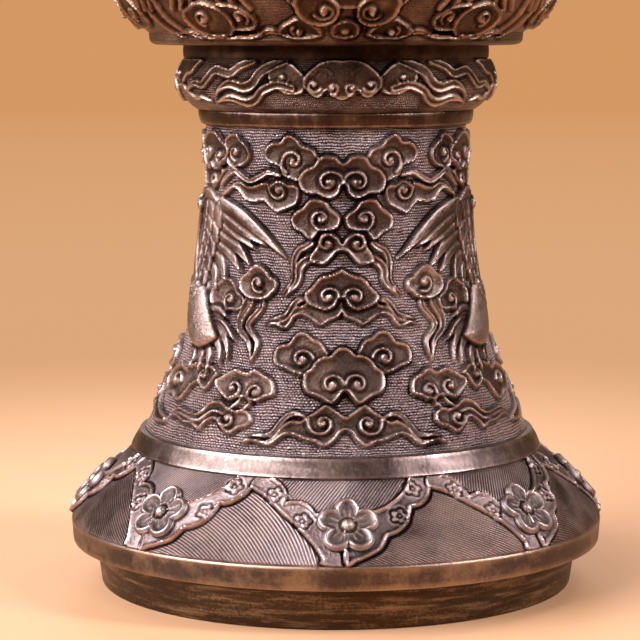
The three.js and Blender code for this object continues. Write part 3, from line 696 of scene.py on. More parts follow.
def blossom(name, node, flare, angle, seed):
    """A plum blossom cast apart and set on the flare: five petals with rolled edges round a domed heart."""
    n_t, n_r = ((110, 26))
    t = np.arange(n_t) * 2 * math.pi / n_t
    centre_at, petal = 4.72, 3.68
    delta = (t - math.pi / 2 + math.pi / 5) % (2 * math.pi / 5) - math.pi / 5
    edge = centre_at * np.cos(delta) + np.sqrt(petal ** 2 - (centre_at * np.sin(delta)) ** 2)
    share = np.sin(np.linspace(0, 1, n_r)[1:] * math.pi / 2)[:, None] ** 0.9
    rho = share * edge
    inside = (edge - rho) * (0.8 + 0.2 * np.cos(5 * delta))
    crease = bell((np.abs(delta) - math.pi / 5) * rho, 0, 0.34) * step_up((rho - 3.4) / 1.4)
    fold_line = bell(delta * rho, 0, 0.3) * step_up((rho - 2.4) / 1) * step_up((6.2 - rho) / 2)
    stamen = bell((np.abs(delta) - 0.2) * rho, 0, 0.26) * step_up((rho - 2.6) / 0.8) * step_up((5.6 - rho) / 1.4)
    high = 0.85 + 0.25 * step_up((rho - 3.0) / 4.5) + 0.95 * bell(inside, 0.9, 0.7) - 0.3 * crease
    high += 0.22 * stamen - 0.15 * fold_line
    high += 0.3 * bell(rho, 2.7, 0.3) - 0.45 * bell(rho, 2.0, 0.26)
    high = np.maximum(high, 0.9 + 1.5 * np.sqrt(np.clip(1 - (rho / 1.75) ** 2, 0, 1)))
    high = np.where(share > 0.995, high * 0.62, high)
    high += 0.05 * np.sin(3 * t + seed) * share
    # three more rows close the side and the underside, and two points close the middle
    rho = np.concatenate([rho, edge[None] * 1.012, edge[None], edge[None] * 0.5])
    grid = np.concatenate([high, np.full((1, n_t), .55), np.full((2, n_t), .02)])
    x, y = np.append(rho * np.cos(t), [0, 0]), np.append(rho * np.sin(t), [0, 0])
    high = np.append(grid, [2.35, .02])
    mid = float(np.interp(HEART_AT, np.linspace(0, 1, len(flare.s)), flare.s))
    s = mid - y if flare.hanging else mid + y
    base, out = flare.point(s), flare.out(s)
    r, z = base[:, 0] + out[:, 0] * high, base[:, 1] + out[:, 1] * high
    P = round_the_axis(math.radians(angle) + x / float(flare.point(mid)[0]), r, z)
    rows = n_r + 2
    i, j = np.meshgrid(np.arange(rows - 1), np.arange(n_t), indexing="ij")
    j2 = (j + 1) % n_t
    quads = np.stack([i * n_t + j, (i + 1) * n_t + j, (i + 1) * n_t + j2, i * n_t + j2], -1).reshape(-1, 4)
    k, last = np.arange(n_t), (rows - 1) * n_t
    k2 = (k + 1) % n_t
    top, low = rows * n_t, rows * n_t + 1
    fans = np.concatenate([np.stack([np.full(n_t, top), k, k2], -1),
                           np.stack([np.full(n_t, low), last + k2, last + k], -1)])
    # the upper side lies in the left half of the map, the underside in the right half
    number = np.arange(len(x))
    flat = np.stack([x, y], -1) / 20 * 0.9
    flat[:, 0] += np.where((number < n_r * n_t) | (number == top), 0.25, 0.75)
    flat[:, 1] += 0.5
    patina_and_shade = np.clip((grid - blur_rows(grid, 4)) * 2.4 + (grid - 1.2) * 0.6, -1, 1)
    # painted shade on the petals' outer rows, the side and the underside, where the blossom meets the flare
    patina_and_shade[n_r - 2:] = np.minimum(patina_and_shade[n_r - 2:], -0.2)
    fields = {key: np.zeros(len(P)) for key in FIELDS}
    # the heart's top point lighter; the underside's middle painted darker as shade
    fields["patina_and_shade"] = np.append(patina_and_shade.ravel(), [0.4, -0.4])
    fields["grain"] += 0.15
    return piece(name, node, P, [quads, fans], flat[np.concatenate([quads.ravel(), fans.ravel()])], fields)


# ---------------------------------------------------------------- the collar and the bulb

def draw_collar(rel):
    """A mushroom of cloud with flying scarves, for one quarter of a collar."""
    rel.plate([(12, 142.2), (15, 144.8), (19, 146.2), (23.6, 145.4), (26.4, 143), (25, 140.6), (22, 138.8),
               (18, 137.8), (13, 138.6)], tall=.8, rim=.3, dish=.3, wide=1.6)
    rel.volute((20.4, 142.2), 1.9, 200, 1, 3.4, .7, half=.42, tall=.4)
    rel.ribbon([(20, 146.4), (25, 145.2), (29.6, 143.4), (32.4, 140.8), (36.6, 139.8), (42.6, 140.6), (47.6, 139.2),
                (50.6, 137.4)], [1.2, 1.6, 1.6, 1.3, .45], tall=.85, dish=.4)
    rel.ribbon([(17, 139.6), (22.6, 140.4), (28.6, 139), (32, 136.8), (36.6, 135.9), (42.6, 137), (47.6, 136.6),
                (52, 135.6)], [1.1, 1.4, 1.35, 1.1, .4], tall=.85, dish=.4)
    rel.ribbon([(33, 146.4), (38.6, 145), (42.6, 143.2), (49.6, 144), (53.6, 142), (57.6, 140.2), (62.6, 140.6),
                (67.6, 139.4), (71, 137.6)], [1.1, 1.4, 1.35, 1.1, .45], tall=.85, dish=.4)
    rel.plate([(-3, 146.6), (0, 146.6), (3, 146.8), (7, 146.2), (10, 144.8), (12.8, 142.4), (13, 140.2), (11, 138.2),
               (8.5, 137.2), (6.4, 137.8), (5, 139), (3.2, 137.6), (0, 136.6), (-3, 136.8)], tall=1.0, rim=.3,
              dish=.35, wide=1.6)
    rel.volute((9.2, 140.4), 2.0, 200, 1, 3.4, .55, half=.48, tall=.5)
    rel.volute((3.0, 139.7), 2.1, 340, -1, 3.4, .55, half=.48, tall=.5)
    rel.ridge([(3, 143), (5, 144.4), (8, 144), (10, 142.6)], .35, .25)
    rel.plate([(60, 146.8), (62, 144.4), (65, 142.8), (69, 142.2), (72.4, 140.4), (77, 139.4), (81, 140.4),
               (83.6, 143), (82, 145.6), (78, 147)], tall=.85, rim=.3, dish=.3, wide=1.6)
    rel.volute((77, 142.8), 1.9, 250, 1, 3.4, .7, half=.42, tall=.4)
    rel.ribbon([(74, 140), (70, 138), (65, 136.6), (60, 137), (55, 135.8)], [.9, .9, .7, .3], tall=.7, dish=.3)
    rel.plate([(93, 142), (89, 143), (85.6, 142), (83, 139.6), (84, 137), (88, 135.6), (93, 135.6)], tall=.9, rim=.3,
              dish=.3, wide=1.5)
    rel.volute((88, 139.2), 1.7, 0, 1, 3.2, .65, half=.4, tall=.4)
    rel.soften()


def draw_bulb(rel):
    """Cloud heads and rising scarves for a quarter of the bulb's lower half, by arc length from its lip."""
    for x in (27.6, 45.6, 62, 78):
        lean = 1.5 if x < 40 else -1.5
        for side in (-3.4, 0, 3.4):
            rel.ribbon([(x + side, 9), (x + side + lean, 13), (x + side - lean, 18), (x + side + lean, 23),
                        (x + side, 27.5)], [.9, 1.0, .9, .8, .3], tall=.9, dish=.35)
    for k in range(5):
        x, turn = 9 + 18 * k, 1 if k % 2 else -1
        lobes = []
        for t in np.linspace(0, 2 * math.pi, 40, endpoint=False):
            reach = 0.76 + 0.24 * abs(math.cos(2.5 * (t - math.pi / 2))) ** 0.6
            lobes.append((x + (7.4 - 1.1 * math.sin(t)) * reach * math.cos(t), 23.2 + 6.6 * reach * math.sin(t)))
        rel.plate(lobes, tall=1.1, dish=.5)
        rel.volute((x + 0.8 * turn, 22.8), 3.9, 270 - 30 * turn, turn, 5.0, 1.0)
    rel.plate([(34, 10.4), (31.6, 10.9), (28.6, 10.4), (25, 8.4), (23.6, 4.9), (25, 2.4), (29, 1.6), (33, 3)],
              tall=1.15)
    rel.volute((28, 6.6), 2.7, 250, -1, 4.0, .95)
    rel.ribbon([(32.4, -1.6), (38, -1.4), (43, -.9), (47.4, .7), (51, .9), (56, -.2)], [.7, .8, .8, .8, .7, .3],
               tall=1.0)
    rel.plate([(46.2, 5.4), (45.4, 8.4), (42.6, 10.2), (39.4, 11.6), (35.6, 11), (32.4, 9.3), (30.6, 6), (31, 2.4),
               (33.4, -.4), (37, -1.3), (41, -.6), (44.6, 1.8)], tall=1.3)
    rel.volute((39.2, 6.2), 3.0, 290, 1, 4.2, 1.0)
    rel.ribbon([(44, -1.6), (47, -.9), (50, .6), (52.4, 3.4), (54, 7), (55, 12), (58, 17), (57, 22)],
               [.4, .8, 1, 1, .9, .4], tall=.9, dish=.35)
    rel.ribbon([(52, -1.2), (55, -.6), (58, 2), (60, 7), (60.6, 12), (63.6, 17), (63, 21)], [.4, .8, 1, 1, .9, .4],
               tall=.9, dish=.35)
    rel.plate([(66, 4), (70, 2.4), (75, 2.6), (79, 5), (80.6, 9), (78.4, 13), (73.6, 15.2), (69, 13.6), (66, 10),
               (64.8, 7)], tall=1.15)
    rel.volute((72.6, 7.8), 2.9, 300, 1, 4.2, .95)
    rel.plate([(93, 3), (88, 2.6), (83.6, 4), (81.4, 8), (82.6, 12), (86, 15), (93, 15.6)], tall=1.25)
    rel.volute((87.4, 8), 2.8, 240, -1, 4.2, .95)
    rel.plate([(-3, 20), (0, 20), (4, 19.4), (8.6, 18.4), (12.6, 16.4), (15, 13.4), (14, 10.6), (10.4, 9.4), (5, 9.6),
               (-3, 10)], tall=1.2, wide=2.4)
    rel.ribbon([(17, .1), (21.2, 1.4), (24, 0), (27.4, -1.1), (31, -1.1), (35, -1.8)], [1.1, 1.1, 1.0, .9, .8, .4],
               tall=1.0)
    rel.plate([(6, -.6), (6.6, 2), (8.2, 3.8), (10.6, 5.4), (12.9, 6.3), (15, 5), (17.2, 3.6), (18.9, 1.7),
               (18.4, -.6), (16, -1.7), (12, -2), (8.4, -1.7)], tall=1.05, dish=.5)
    rel.volute((13.1, 1.1), 2.0, 60, -1, 3.4, .85)
    rel.plate([(-3, 5.4), (0, 5.6), (2.4, 4.9), (3.9, 3.2), (4.2, .8), (3.2, -1.2), (0, -1.9), (-3, -1.9)], tall=1.0,
              dish=.5)
    rel.ball((0, 1.0), 1.3, .8)
    rel.plate([(1.9, 7.4), (2, 9.8), (3.3, 12), (5.4, 13.8), (8.4, 14.8), (11.6, 14), (13.2, 11.6), (13, 8.6),
               (12, 6.4), (10.2, 4.8), (8.4, 4), (6.4, 3.7), (4.3, 4.2), (2.7, 5.6)], base=.15, tall=1.35, wide=2.2)
    rel.volute((5.6, 8.6), 3.0, 330, -1, 4.4, 1.1)
    rel.soften()


# ---------------------------------------------------------------- the pieces

def tube_piece(name, node, ground, z0, z1, rel, n_round, pitch, threads, front_shade=0.0):
    """The column or the neck: a flared tube with the sky drawn round it, and shade painted on its front, most near
    its top.
    """
    zs = np.linspace(z0, z1, 400)
    rows_z = spread(np.stack([ground(zs), zs], -1), int((z1 - z0) * 1.02 / pitch))
    az, z = np.meshgrid(azimuths(n_round), rows_z[:, 1])
    high, covered, grain = rel.at(fold(az + drift(az, z, 0.3, 0.4)), z + drift(az, z, 0.12, 3.1))
    fade = step_up((z - z0) / 0.7) * step_up((z1 - z) / 0.7)
    inner_z = np.linspace(z1, z0, 14)
    loop = np.concatenate([rows_z, np.stack([ground(inner_z) - wall, inner_z], -1)])
    rows = slice(0, len(rows_z))
    tint_and_shade = np.zeros((len(loop), n_round))
    # painted shade: darker in front, most near the top, standing in for the dark room mirrored there
    tint_and_shade[rows] = -front_shade * bell(fold(az, 360.0), 0, 12) * (0.35 + 0.65 * step_up((z - z0 - 48) / 22))
    return turned_piece(name, node, loop, n_round, high * fade, rows,
                        {"ground": (1 - covered) * fade, "grain": grain}, threads=threads, tint_and_shade=tint_and_shade)


sky = Relief((0, 90), (column_z - 1, ring_z + 1), column_ground)
draw_sky(sky)
column = tube_piece("column_cast", "column", column_ground, column_z, ring_z, sky, counted(960), 0.34 / fine,
                    (310, 1.3), front_shade=0.3)


def to_neck(z):
    return neck_z + (z - column_z) * neck_height / column_height


neck_sky = Relief((0, 90), (neck_z - 1, mouth_band_z + 1), neck_ground, fineness=0.2)
draw_sky(neck_sky, to_neck)
neck = tube_piece("neck_cast", "neck", neck_ground, neck_z, mouth_band_z, neck_sky, counted(560), 0.5 / fine,
                  (310, 1.2))

# The skirt: its face with blossoms, the plain edge of the flange and the hollow behind.
skirt_rows = spread(skirt_flare.curve[::-1], counted(78))
skirt_s = np.interp(skirt_rows[:, 1], skirt_flare.curve[::-1, 1], skirt_flare.s[::-1])
high, maps = brocade(skirt_flare, counted(1080), skirt_s)
edge_in = foot_radius - foot_land + 1
edge_rows = [(edge_in, foot_height)]
for out, up in ((-1, 0), (-.55, .12), (-.35, .5), (-.2, 2), (-.05, 4.2), (.12, 5.6), (.12, 6), (-.12, 6.4)):
    edge_rows.append((flange_radius + out, foot_height + up))
hollow_rim = flange_radius - 2 * wall
hollow = Flare(skirt_narrow - wall, hollow_rim, skirt_rise - 1, band_z, True).curve[::40]
loop = np.concatenate([edge_rows, skirt_rows[1:], [(skirt_narrow - wall, band_z)], hollow[1:],
                       [(hollow_rim, foot_height + 4), (edge_in, foot_height + 3)]])
first = len(edge_rows)
worn = np.zeros(len(loop))
worn[:first - 1] = 1
worn[first - 1:first + 1] = .5
# brighter where the flange's edge turns; shade painted on the flanks and in two soft stripes of the front
tint_and_shade = np.zeros(len(loop))
tint_and_shade[[2, 3, 6, 7, 8]] = .5, .3, .2, .6, .3
around = azimuths(counted(1080))
flanks = step_up((np.abs(np.sin(np.radians(around))) - 0.7) / 0.22)
front_shade_stripes = 0.34 * bell(around, 9, 10) + 0.1 * bell(around, 46, 7)
tint_and_shade = tint_and_shade[:, None] - (0.3 * flanks + front_shade_stripes) * (worn < 1)[:, None]
skirt = turned_piece("skirt_cast", "foot_skirt", loop, counted(1080), high[1:],
                     slice(first, first + len(skirt_rows) - 1), {k: m[1:] for k, m in maps.items()},
                     threads=(520, 1.2), worn=worn, tint_and_shade=tint_and_shade)

# The mouth: the same brocade on its underside, a plain edge and a plain bowl inside.
mouth_rows = spread(mouth_flare.curve, counted(70))
mouth_s = np.interp(mouth_rows[:, 1], mouth_flare.curve[:, 1], mouth_flare.s)
high, maps = brocade(mouth_flare, counted(720), mouth_s)
far = mouth_z + mouth_rise + mouth_edge
lip = [(mouth_radius, far - mouth_edge + .2), (mouth_radius + .1, far - mouth_edge + .6)]
for inward, down in ((.05, 3), (0, .7), (.2, .2), (.6, 0), (2.4, 0), (2.8, .2), (wall, .7)):
    lip.append((mouth_radius - inward, far - down))
t = np.linspace(0, 1, 26)[1:, None]
bowl = (np.array([mouth_radius - wall, far - .7]) * (1 - t) ** 2
        + np.array([mouth_radius - 2 * wall, mouth_z + flare_shoulder * mouth_rise - wall]) * 2 * t * (1 - t)
        + np.array([mouth_bore, mouth_z + 4.3]) * t ** 2)
loop = np.concatenate([mouth_rows[:-1], lip, bowl, [(mouth_bore, mouth_z)]])
count = len(mouth_rows)
worn = np.zeros(len(loop))
worn[count - 1:count + 8] = 1
tint_and_shade = np.zeros(len(loop))
tint_and_shade[count + 8:] = -.4
mouth = turned_piece("mouth_cast", "mouth_flare", loop, counted(720), high[:-1], slice(0, count - 1),
                     {k: m[:-1] for k, m in maps.items()}, threads=(520, 1.2), worn=worn, tint_and_shade=tint_and_shade)

blossoms = []
for k in range(8):
    for place, flare, seed in (("skirt", skirt_flare, k), ("mouth", mouth_flare, k + 3)):
        node = f"{place}_blossom_{k + 1}"
        blossoms.append(blossom(node + "_cast", node, flare, REPEAT * k, seed))

# The foot, the base plate and the vessel's floor.
foot_in = foot_radius - foot_land - 1.4
foot_loop = rounded([(foot_radius - foot_taper, 0), (foot_radius - .5, 6), (foot_radius, foot_height),
                     (foot_in, foot_height), (foot_in, 0)], 0.5)
foot = turned_piece("foot_ring_cast", "foot_ring", foot_loop, 360)
NEAR_AXIS = 0.05


def disc_edge(radius, low, top, bevel=0.4):
    return [(radius - bevel, low), (radius, low + bevel), (radius, top - bevel), (radius - bevel, top)]


underside = [(r, plate_low + 0.25 * math.cos(r / 9)) for r in np.linspace(3, 58, 18)]
plate_loop = [(NEAR_AXIS, plate_low), *underside, *disc_edge(plate_radius, plate_low, plate_top),
              (NEAR_AXIS, plate_top)]
base_plate = turned_piece("base_plate_cast", "base_plate", plate_loop, 180)
floor_loop = [(NEAR_AXIS, floor_low), *disc_edge(floor_radius, floor_low, floor_top), (20, floor_top - .2),
              (NEAR_AXIS, floor_top - .3)]
vessel_floor = turned_piece("vessel_floor_cast", "vessel_floor", floor_loop, 120)


def band_piece(name, node, low, high, z, height):
    """A plain hammered band or ring, from its low radius to its high one."""
    face = [(low + (high - low) * q + 0.18 * math.sin(math.pi * q), z + 0.45 + (height - 0.9) * q)
            for q in np.linspace(0, 1, 7)]
    loop = np.array([(low - 4, z), (low - .55, z), (low - .15, z + .12)] + face
                    + [(high - .15, z + height - .12), (high - .55, z + height), (min(low, high) - 4, z + height)])
    az, h = np.meshgrid(azimuths(480), loop[:, 1])
    a = np.radians(az)
    uneven = 0.05 * np.sin(a * 7 + h) + 0.04 * np.sin(a * 17 + 2 + h * .7) + 0.03 * np.sin(a * 31)
    rows = slice(1, len(loop) - 1)
    tint_and_shade = np.interp(np.arange(len(loop)), [1, 2, 3, 4, 8, 9, 10, 11], [-.3, .1, .45, -.1, -.1, .3, .2, -.3])
    return turned_piece(name, node, loop, 480, uneven[rows], rows, {}, threads=(900, 1.0), tint_and_shade=tint_and_shade)


skirt_band = band_piece("skirt_band_cast", "skirt_band", 58.0, 55.7, band_z, band_height)
mouth_band = band_piece("mouth_band_cast", "mouth_band", 59.9, 62.2, mouth_band_z, band_height)
column_ring = band_piece("column_ring_cast", "column_ring", 37.9, 38.5, ring_z, ring_height)
neck_ring = band_piece("neck_ring_cast", "neck_ring", 38.5, 37.9, upper_ring_z, ring_height)

# The collars: one section, upright below the bulb and turned over above it.
collar_curve = smooth([(39, 0), (40.6, 1.2), (42.4, 3.2), (43.6, 5.6), (44, 8.5), (43.4, 11.6), (42.2, 13.9)],
                      step=0.05)
collar_curve = np.concatenate([collar_curve, [(42.6, 14.4), (42.7, 16), (42.6, collar_height)]])
collar_inside = [(39.4, collar_height), (41, 8.5), (36.2, 1.5), (36, 0)]


def collar_ground(z):
    return np.interp(np.asarray(z) - collar_z, collar_curve[:, 1], collar_curve[:, 0])


collar_relief = Relief((0, 90), (collar_z, bulb_z), collar_ground)
draw_collar(collar_relief)


def collar_piece(name, node, upside_down, n_round, pitch):
    outer = spread(collar_curve, int(21 / pitch))
    count = len(outer)
    az, h = np.meshgrid(azimuths(n_round), outer[:, 1])
    high, covered, grain = collar_relief.at(fold(az + drift(az, h, 0.4, 1.7)), collar_z + h)
    fade = step_up((h - 0.5) / 1.0) * step_up((14.2 - h) / 0.8)
    high, ground = high * fade, (1 - covered) * fade
    loop = np.concatenate([outer, collar_inside])
    face = upper_collar_z + collar_height if upside_down else collar_z
    if upside_down:
        loop[:, 1] = face - loop[:, 1]
        loop = np.concatenate([loop[:count][::-1], loop[count:][::-1]])
        high, ground, grain = high[::-1], ground[::-1], grain[::-1]
    else:
        loop[:, 1] += face
    # painted shade: darker towards the bulb, which overhangs the collar; a little lighter near the collar's face
    tint_and_shade = np.interp(np.abs(loop[:, 1] - face), [2, 6, 12, 15], [.1, 0, -.25, -.5])
    return turned_piece(name, node, loop, n_round, high, slice(0, count), {"ground": ground, "grain": grain},
                        threads=(420, 1.6), tint_and_shade=tint_and_shade)


lower_collar = collar_piece("lower_collar_cast", "lower_collar", False, counted(720), 0.33 / fine)
upper_collar = collar_piece("upper_collar_cast", "upper_collar", True, counted(480), 0.5 / fine)

# The bulb: plain lips, and a full arc between them.
arc_half = math.asin((bulb_height / 2 - bulb_lip_height) / bulb_arc)
arc_length = 2 * arc_half * bulb_arc
bulb_middle = bulb_z + bulb_height / 2
lip_low = 1.15


def bulb_radius(s):
    return bulb_centre + bulb_arc * np.cos(np.asarray(s) / bulb_arc - arc_half)


bulb_relief = Relief((0, 90), (-3, arc_length / 2 + 1), bulb_radius, by_arc=True)
draw_bulb(bulb_relief)
s = np.linspace(-bulb_lip_height + lip_low, arc_length + bulb_lip_height - lip_low, counted(166))
ang = np.clip(s, 0, arc_length) / bulb_arc - arc_half
past = np.minimum(s, 0) + np.maximum(s - arc_length, 0)
arc = np.stack([bulb_centre + bulb_arc * np.cos(ang) - 0.12 * np.abs(past),
                bulb_middle + bulb_arc * np.sin(ang) + past], -1)
az, ss = np.meshgrid(azimuths(counted(800)), s)
high, covered, grain = bulb_relief.at(fold(az + drift(az, ss, 0.3, 2.9)), np.minimum(ss, arc_length - ss))
fade = step_up((ss - s[0]) / 0.7) * step_up((s[-1] - ss) / 0.7)
low_lip = [(38.8, bulb_z)]
for inward, up in ((3, 0), (2.2, .06), (1.3, .3), (.7, .65), (.45, lip_low - .12)):
    low_lip.append((bulb_lip - inward, bulb_z + up))
up_lip = [(r, 2 * bulb_middle - z) for r, z in reversed(low_lip)]
inner_ang = np.linspace(arc_half, -arc_half, 22)
inner_arc = np.stack([bulb_centre + (bulb_arc - wall) * np.cos(inner_ang),
                      bulb_middle + (bulb_arc - wall) * np.sin(inner_ang)], -1)
inner_arc = inner_arc[inner_arc[:, 0] > 38.9]
loop = np.concatenate([low_lip, arc, up_lip, inner_arc])
bulb = turned_piece("bulb_cast", "bulb", loop, counted(800), high * fade,
                    slice(len(low_lip), len(low_lip) + len(arc)),
                    {"ground": (1 - covered) * fade * 0.25, "grain": np.maximum(grain, 0.5)}, threads=(460, 1.12))


# ---------------------------------------------------------------- materials

class Wire:
    """A node's output. Arithmetic with it adds Math nodes."""

    def __init__(self, nodes, socket):
        self.nodes, self.socket = nodes, socket

    def __add__(self, other):
        return self.nodes.math("ADD", self, other)

    def __sub__(self, other):
        return self.nodes.math("SUBTRACT", self, other)

    def __rsub__(self, other):
        return self.nodes.math("SUBTRACT", other, self)

    def __mul__(self, other):
        return self.nodes.math("MULTIPLY", self, other)

    def clamped(self):
        self.socket.node.use_clamp = True
        return self


class Nodes:
    """Short calls for the nodes of a material or of the world."""

    def __init__(self, owner):
        owner.use_nodes = True
        self.tree = owner.node_tree
        self.tree.nodes.clear()

    def put(self, socket, value):
        """Links an output to a socket, or sets the socket to a number, a vector or a colour."""
        if isinstance(value, Wire):
            value = value.socket
        if isinstance(value, bpy.types.NodeSocket):
            self.tree.links.new(value, socket)
        else:
            socket.default_value = (*value, 1) if socket.type == "RGBA" else value

    def add(self, kind, inputs=None, **settings):
        node = self.tree.nodes.new("ShaderNode" + kind)
        for key, value in settings.items():
            setattr(node, key, value)
        for key, value in (inputs or {}).items():
            self.put(node.inputs[key], value)
        return node

    def field(self, name):
        return Wire(self, self.add("Attribute", attribute_name=name).outputs["Fac"])

    def math(self, operation, a, b=0.0, c=0.0):
        return Wire(self, self.add("Math", {0: a, 1: b, 2: c}, operation=operation).outputs[0])

    def noise(self, where, scale, detail, rough=0.55):
        node = self.add("TexNoise", {"Vector": where, "Scale": scale, "Detail": detail, "Roughness": rough})
        return Wire(self, node.outputs["Fac"])

    def ramp(self, value, stops):
        node = self.add("ValToRGB", {"Fac": value})
        elements = node.color_ramp.elements
        while len(elements) < len(stops):
            elements.new(0.5)
        for element, (place, colour) in zip(elements, stops):
            element.position = place
            element.color = (*colour, 1)
        return node.outputs["Color"]

    def mix(self, share, a, b):
        node = self.add("Mix", data_type="RGBA")
        for socket, value in zip([i for i in node.inputs if i.enabled], (share, a, b)):
            self.put(socket, value)
        return next(o for o in node.outputs if o.enabled)

    def mapped(self, where, scale):
        return self.add("Mapping", {"Vector": where, "Scale": scale}).outputs[0]

    def bump(self, height, distance, strength, normal=None):
        inputs = {"Height": height, "Distance": distance, "Strength": strength}
        if normal is not None:
            inputs["Normal"] = normal
        return self.add("Bump", inputs).outputs["Normal"]


GOLD, EDGE = (0.29, 0.19, 0.11), (0.06, 0.04, 0.028)


def bronze(name, low, face, rim, silver, rough=0.42, streaks=(1, 1, 1), gold_share=0.2, pale=0.0, brushed=0.0,
           relief=0.55, pitted=0.75):
    """Patinated cast bronze with shade painted into its hollows: dark faces, rubbed rims, a paler ground, golden wear
    and fine threads.
    """
    material = bpy.data.materials.new(name)
    n = Nodes(material)
    where = n.add("TexCoord").outputs["Object"]
    stretched = n.mapped(where, streaks)
    patina_and_shade, ground, grain, hatch, phase, worn = (n.field(key) for key in FIELDS)
    cloudy, blotch = n.noise(stretched, 38, 5, 0.6), n.noise(stretched, 110, 5, 0.62)
    speck = n.noise(where, 1300, 3, 0.6)

    # fine threads of the ground, set like bricks, and engraved lines
    split = n.add("SeparateXYZ", {0: n.add("UVMap", uv_map="Threads").outputs[0]})
    row = Wire(n, split.outputs[1]) + (n.noise(where, 130, 4, 0.7) - 0.5) * 2.6
    odd = n.math("MODULO", n.math("FLOOR", row), 2.0) * 0.5
    across = Wire(n, split.outputs[0]) + odd + n.noise(where, 420, 3, 0.7) * 2.0
    du, dv = (n.math("ABSOLUTE", n.math("FRACT", turns) - 0.5) * 2.0 for turns in (across, row))
    thread = (1.0 - n.math("POWER", du, 3.0) * 0.85) * (1.0 - n.math("POWER", dv, 2.0)) * ground
    lines = n.math("MULTIPLY_ADD", n.math("SINE", phase * (2 * math.pi)), 0.5, 0.5) * hatch
    stipple = n.noise(where, 1700, 2, 0.5) * grain
    brush = n.noise(n.mapped(where, (900, 900, 45)), 1.0, 4, 0.65)

    # colour: hollows dark, as patina and as painted shade in the relief's undercuts, rims bright, with patina that
    # wanders
    wander = (cloudy - 0.5) * 0.6 + (blotch - 0.5) * 0.6 + (speck - 0.5) * 0.35
    if brushed:
        wander = wander + (brush - 0.5) * brushed
    proud = (grain - 0.85).clamped()
    tone = patina_and_shade * relief + 0.4 + wander + proud
    between = tuple(0.5 * (a + b) for a, b in zip(face, rim))
    colour = n.ramp(tone, [(0.0, low), (0.4, face), (0.62, between), (0.9, rim)])
    fray = n.math("MULTIPLY_ADD", n.noise(where, 700, 3, 0.7), 2.1, -0.25)
    gap = (1.0 - (ground - thread) * fray).clamped() * (1.0 - (hatch - lines) * 0.7)
    plain = n.ramp((tone + 0.12) * gap, [(0.06, low), (0.5, silver), (0.9, tuple(c * 1.35 for c in silver))])
    colour = n.mix(n.math("MAXIMUM", n.math("MAXIMUM", ground, hatch), pale).clamped(), colour, plain)
    warm = ((blotch - 0.5).clamped() * 5.0).clamped()
    warm = (warm * n.math("MULTIPLY_ADD", worn, 0.4, gold_share)).clamped()
    colour = n.mix(worn * 0.9, colour, n.ramp(tone + 0.05, [(0.1, low), (0.5, EDGE), (0.9, GOLD)]))
    colour = n.mix(n.math("MAXIMUM", warm, proud * 1.2), colour, GOLD)

    normal = n.bump(n.noise(where, 1000, 5, 0.7), 0.00032, pitted)
    normal = n.bump(thread, 0.00055, 1.0, normal)
    normal = n.bump(lines, 0.0003, 1.0, normal)
    normal = n.bump(stipple, 0.00026, 0.9, normal)
    if brushed:
        normal = n.bump(brush, 0.00012, brushed, normal)
    roughness = n.math("MAXIMUM", patina_and_shade * -0.16 + rough + (blotch - 0.5) * 0.35, 0.2)
    shader = n.add("BsdfPrincipled", {"Base Color": colour, "Metallic": 1.0, "Roughness": roughness,
                                      "Normal": normal})
    n.add("OutputMaterial", {0: shader.outputs[0]})
    return material


dark, brown, bright, lilac = (0.018, 0.011, 0.009), (0.08, 0.05, 0.042), (0.49, 0.375, 0.352), (0.54, 0.43, 0.445)
black = (0.014, 0.008, 0.006)
# slot, name, the colours of hollows, faces, rims and ground, what differs from the plain bronze, and the pieces
FINISHES = [
    ("cast_bronze", "cast_bronze", (dark, brown, bright, lilac), {}, [column, neck]),
    ("cast_bronze", "collar_bronze", (black, (0.058, 0.031, 0.021), (0.54, 0.42, 0.36), (0.24, 0.154, 0.13)),
     {"relief": 0.6}, [lower_collar, upper_collar]),
    ("cast_bronze", "bulb_bronze", (black, (0.066, 0.035, 0.022), (0.32, 0.2, 0.145), (0.24, 0.15, 0.12)),
     {"relief": 0.6}, [bulb]),
    ("cast_bronze", "brocade_bronze", (dark, brown, bright, (0.385, 0.29, 0.288)),
     {"rough": 0.43, "pale": 0.65, "relief": 0.85, "pitted": 0.45}, [skirt, mouth]),
    ("worn_bronze", "petal_bronze", (dark, (0.088, 0.06, 0.052), (0.40, 0.32, 0.3), (0.27, 0.215, 0.215)),
     {"rough": 0.47, "pale": 0.35, "relief": 0.75, "pitted": 0.5}, blossoms),
    ("worn_bronze", "band_bronze", (dark, (0.064, 0.041, 0.034), (0.43, 0.32, 0.295), (0.34, 0.255, 0.245)),
     {"rough": 0.36, "brushed": 0.5, "pale": 0.25, "pitted": 0.15}, [skirt_band, mouth_band]),
    ("worn_bronze", "ring_bronze",
     ((0.012, 0.007, 0.006), (0.035, 0.017, 0.011), (0.30, 0.205, 0.165), (0.16, 0.1, 0.08)),
     {"rough": 0.34, "brushed": 0.5, "pale": 0.2, "pitted": 0.4}, [column_ring, neck_ring]),
    ("foot_bronze", "foot_bronze",
     ((0.012, 0.008, 0.006), (0.064, 0.037, 0.02), (0.44, 0.28, 0.16), (0.2, 0.14, 0.1)),
     {"rough": 0.45, "streaks": (0.6, 0.6, 7), "gold_share": 0.45}, [foot]),
    ("hidden_bronze", "hidden_bronze", (dark, (0.075, 0.052, 0.038), (0.22, 0.16, 0.12), (0.2, 0.14, 0.1)),
     {"rough": 0.55}, [base_plate, vessel_floor])]
for slot, name, colours, settings, members in FINISHES:
    material = bronze(name, *colours, **settings)
    for ob in members:
        ob.data.materials.append(material)

# ---------------------------------------------------------------- floor, light and camera

backdrop = (0.66, 0.315, 0.127)


